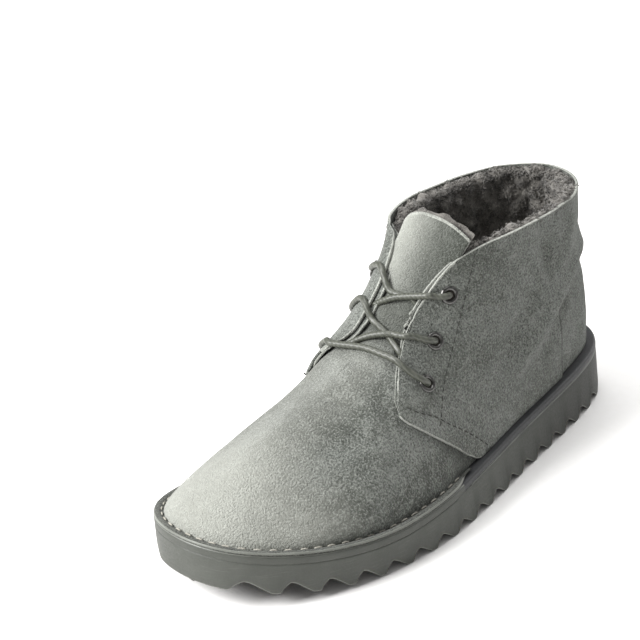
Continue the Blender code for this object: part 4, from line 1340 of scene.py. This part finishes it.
# %% [markdown]
# ## Eyelets and lace
# Each eyelet is a pressed tube of metal whose head is rolled over the suede, so it is a profile
# turned round the facing's outward direction. One lace runs through all six: a straight bar over
# the bottom pair, then a crossing to the middle pair and a crossing to the top pair. It goes into
# each eyelet from outside, runs behind the facing and comes out under the facing's edge. Both
# ends stop inside at the top eyelets. It is one tube along one path, because a lace that is
# pieced together shows its joints.

# %% Eyelets
EYELETS = {"bottom": (8.9, 0.62), "middle": (8.1, 0.74), "top": (7.2, 0.86)}     # row, up
FACE = 1.25                      # mm from the last to the middle of an eyelet's head
HOLE_POINTS = 24
# radius and height: up through the hole, over the rolled head and down to the suede
EYELET_PROFILE = [(2.25, -1.6), (2.25, -0.2), (2.35, 0.25), (2.6, 0.62), (3.0, 0.85), (3.5, 0.9),
                  (4.0, 0.74), (4.35, 0.42), (4.5, 0.0), (4.42, -0.35)]


def eyelet_place(name, side):
    """Centre of an eyelet on the suede's face, and its outward direction."""
    row, up = EYELETS[name][0] * side, EYELETS[name][1]
    on_sheet = before_fold(row, up)
    near = facing([(row, on_sheet), (row + 0.1 * side, on_sheet), (row, on_sheet - 0.02),
                   (row, on_sheet + 0.02)], 0.0)
    out = unit(np.cross(near[1] - near[0], near[3] - near[2]))
    out = out if out @ on_last(row, on_sheet)[1] > 0 else -out
    return near[0] + out * FACE, out


def turned_round(name, side, profile, count):
    """A profile of radii and heights turned round the axis of an eyelet."""
    centre, out = eyelet_place(name, side)
    turn = np.array(SKYWARD.rotation_difference(Vector(out)).to_matrix())
    angles = np.arange(count) * 2 * math.pi / count
    grid = np.array([[(r * math.cos(a), r * math.sin(a), h) for r, h in profile] for a in angles])
    return centre + grid @ turn.T


holes = []
for name in EYELETS:
    for side, word in SIDES:
        grid = turned_round(name, side, EYELET_PROFILE, 48)
        node = "eyelet_%s_%s" % (word, name)
        make_piece(node + "_detail", grid, grid_faces(grid, closed=True), [gunmetal],
                   (node,))
        holes.append(turned_round(name, side, [(2.3, 0.0)], HOLE_POINTS))
# dark discs of painted shade fill the eyelets' holes
discs = np.arange(len(holes) * HOLE_POINTS).reshape(len(holes), HOLE_POINTS).tolist()
make_piece("eyelet_holes", holes, discs, [sole_shade], one_sided=True)

# %% Paths of the lace
# stations over the tongue, mm: x, y and the height of the lace's middle over the suede
TOP_OVER = [(7, -8.5, 4.2), (3.5, -10, 4.4), (0, -11, 4.0), (-6.5, -12.5, 2.4), (-11, -14.5, 1.7)]
TOP_UNDER = [(-2.5, -6.8, 2.0), (2, -7.0, 1.6), (7, -6.6, 1.5), (12.5, -5.6, 1.3)]
MIDDLE_OVER = [(12.5, -21.5, 4.0), (8.5, -23.5, 4.2), (1.5, -26, 3.2), (-4, -28.5, 2.0),
               (-8.5, -32, 1.5)]
MIDDLE_UNDER = [(-3.5, -18.5, 2.2), (5.5, -20.5, 1.6), (12.5, -23, 1.5), (19, -25, 1.3)]
BAR = [(18, -30.5, 3.2), (11.5, -31, 2.4), (3.5, -31.5, 2.4), (-4.5, -32.5, 2.4)]
HIDDEN_DEPTH = 3.4               # mm that a hidden run lies behind the last
# each arm: eyelet, side, where it crosses the facing's edge, stations, the eyelet it dives to
ARMS = [("top", 1, (8.1, 0.985), TOP_OVER, "middle"),
        ("middle", -1, (9.25, 1.0), MIDDLE_UNDER, "bottom"),
        ("middle", 1, (9.55, 0.985), MIDDLE_OVER, "bottom"),
        ("top", -1, (8.15, 1.0), TOP_UNDER, "middle")]
LACE_RADIUS, STAND = 1.62, 2.4   # the cord, and how high its middle runs over the facing


def over_facing(name, edge, side):
    """From inside an eyelet, over its rim and close along the suede to the facing's edge."""
    row, up = EYELETS[name][0], before_fold(EYELETS[name][0] * side, EYELETS[name][1])
    centre, out = eyelet_place(name, side)
    path = [centre - out * 3.0, centre + out * 0.5]
    for share, stand in ((0.3, 3.2 if side > 0 else 2.6), (0.55, 2.5), (0.8, STAND), (1.0, STAND)):
        at_row = (row + (edge[0] - row) * share) * side
        at_up = up + (edge[1] - up) * share ** 1.3
        lifted = 1.6 if share > 0.7 and side < 0 else 0.0      # clear of the inner facing's fold
        way = unit(on_last(at_row, at_up)[1] + np.array((0, 0, lifted)))
        path.append(facing([(at_row, at_up)], 0.0)[0] + way * stand)
    return path


def over_tongue(stations):
    """Points above the tongue: x, y and how high the lace's middle is over the suede."""
    return [np.array((x, y, by_key(TONGUE, 1, y) - tongue_drop(y) * x * x + clear))
            for x, y, clear in stations]


def arm(name, side, edge, stations, next_name):
    """Out of an eyelet, over the tongue, and hidden under the other facing to the next eyelet."""
    path = over_facing(name, edge, side) + over_tongue(stations)
    base, out = on_last(-EYELETS[next_name][0] * side, EYELETS[next_name][1])
    hidden = base - out * HIDDEN_DEPTH
    return path + [hidden * 0.45 + path[-1] * 0.55, hidden]


arms = [arm(*row) for row in ARMS]
bar = over_facing("bottom", (10.15, 0.88), 1) + over_tongue(BAR)
bar += over_facing("bottom", (10.8, 0.94), -1)[::-1]
print("bar and arms have", [len(path) for path in [bar] + arms], "points")

# %% Lace
lace_path = evened(curve_through(arms[0] + arms[1] + bar + arms[2][::-1] + arms[3][::-1], 9), 16)
rings = tube_points(lace_path, LACE_RADIUS, 14)
length = np.linalg.norm(np.diff(lace_path, axis=0), axis=1).sum()
make_piece("lace", rings, tube_faces(len(rings), 14), [waxed_cord],
           ("lace_bar", "lace_cross_middle", "lace_cross_top"))
print("lace through the eyelets, mm", round(length))

# %% [markdown]
# ## Floor
# A plain white sheet on which the boot throws a short soft shadow. It is staged, which keeps it
# out of the finished model, and so large that its far edge lies well behind the boot.

# %% Floor
REACH = 3.0                      # metres from the middle to each edge
floor = add_object("floor", bpy.data.meshes.new("floor"))
corners = [(x * REACH, y * REACH, 0) for x, y in ((-1, -1), (1, -1), (1, 1), (-1, 1))]
floor.data.from_pydata(corners, [], [(0, 1, 2, 3)])
paper, tree, shader, where = start_finish("white_paper_floor")
fibre = add_node(tree, "TexNoise", {"Vector": where, "Scale": grain(4)})
tone = add_node(tree, "Mix", {0: fibre, 6: "#f6f5f3", 7: "#faf9f8"}, data_type="RGBA")
set_inputs(shader, {"Base Color": tone, "Roughness": 0.9})
floor.data.materials.append(paper)
print("floor", 2 * REACH, "m wide")
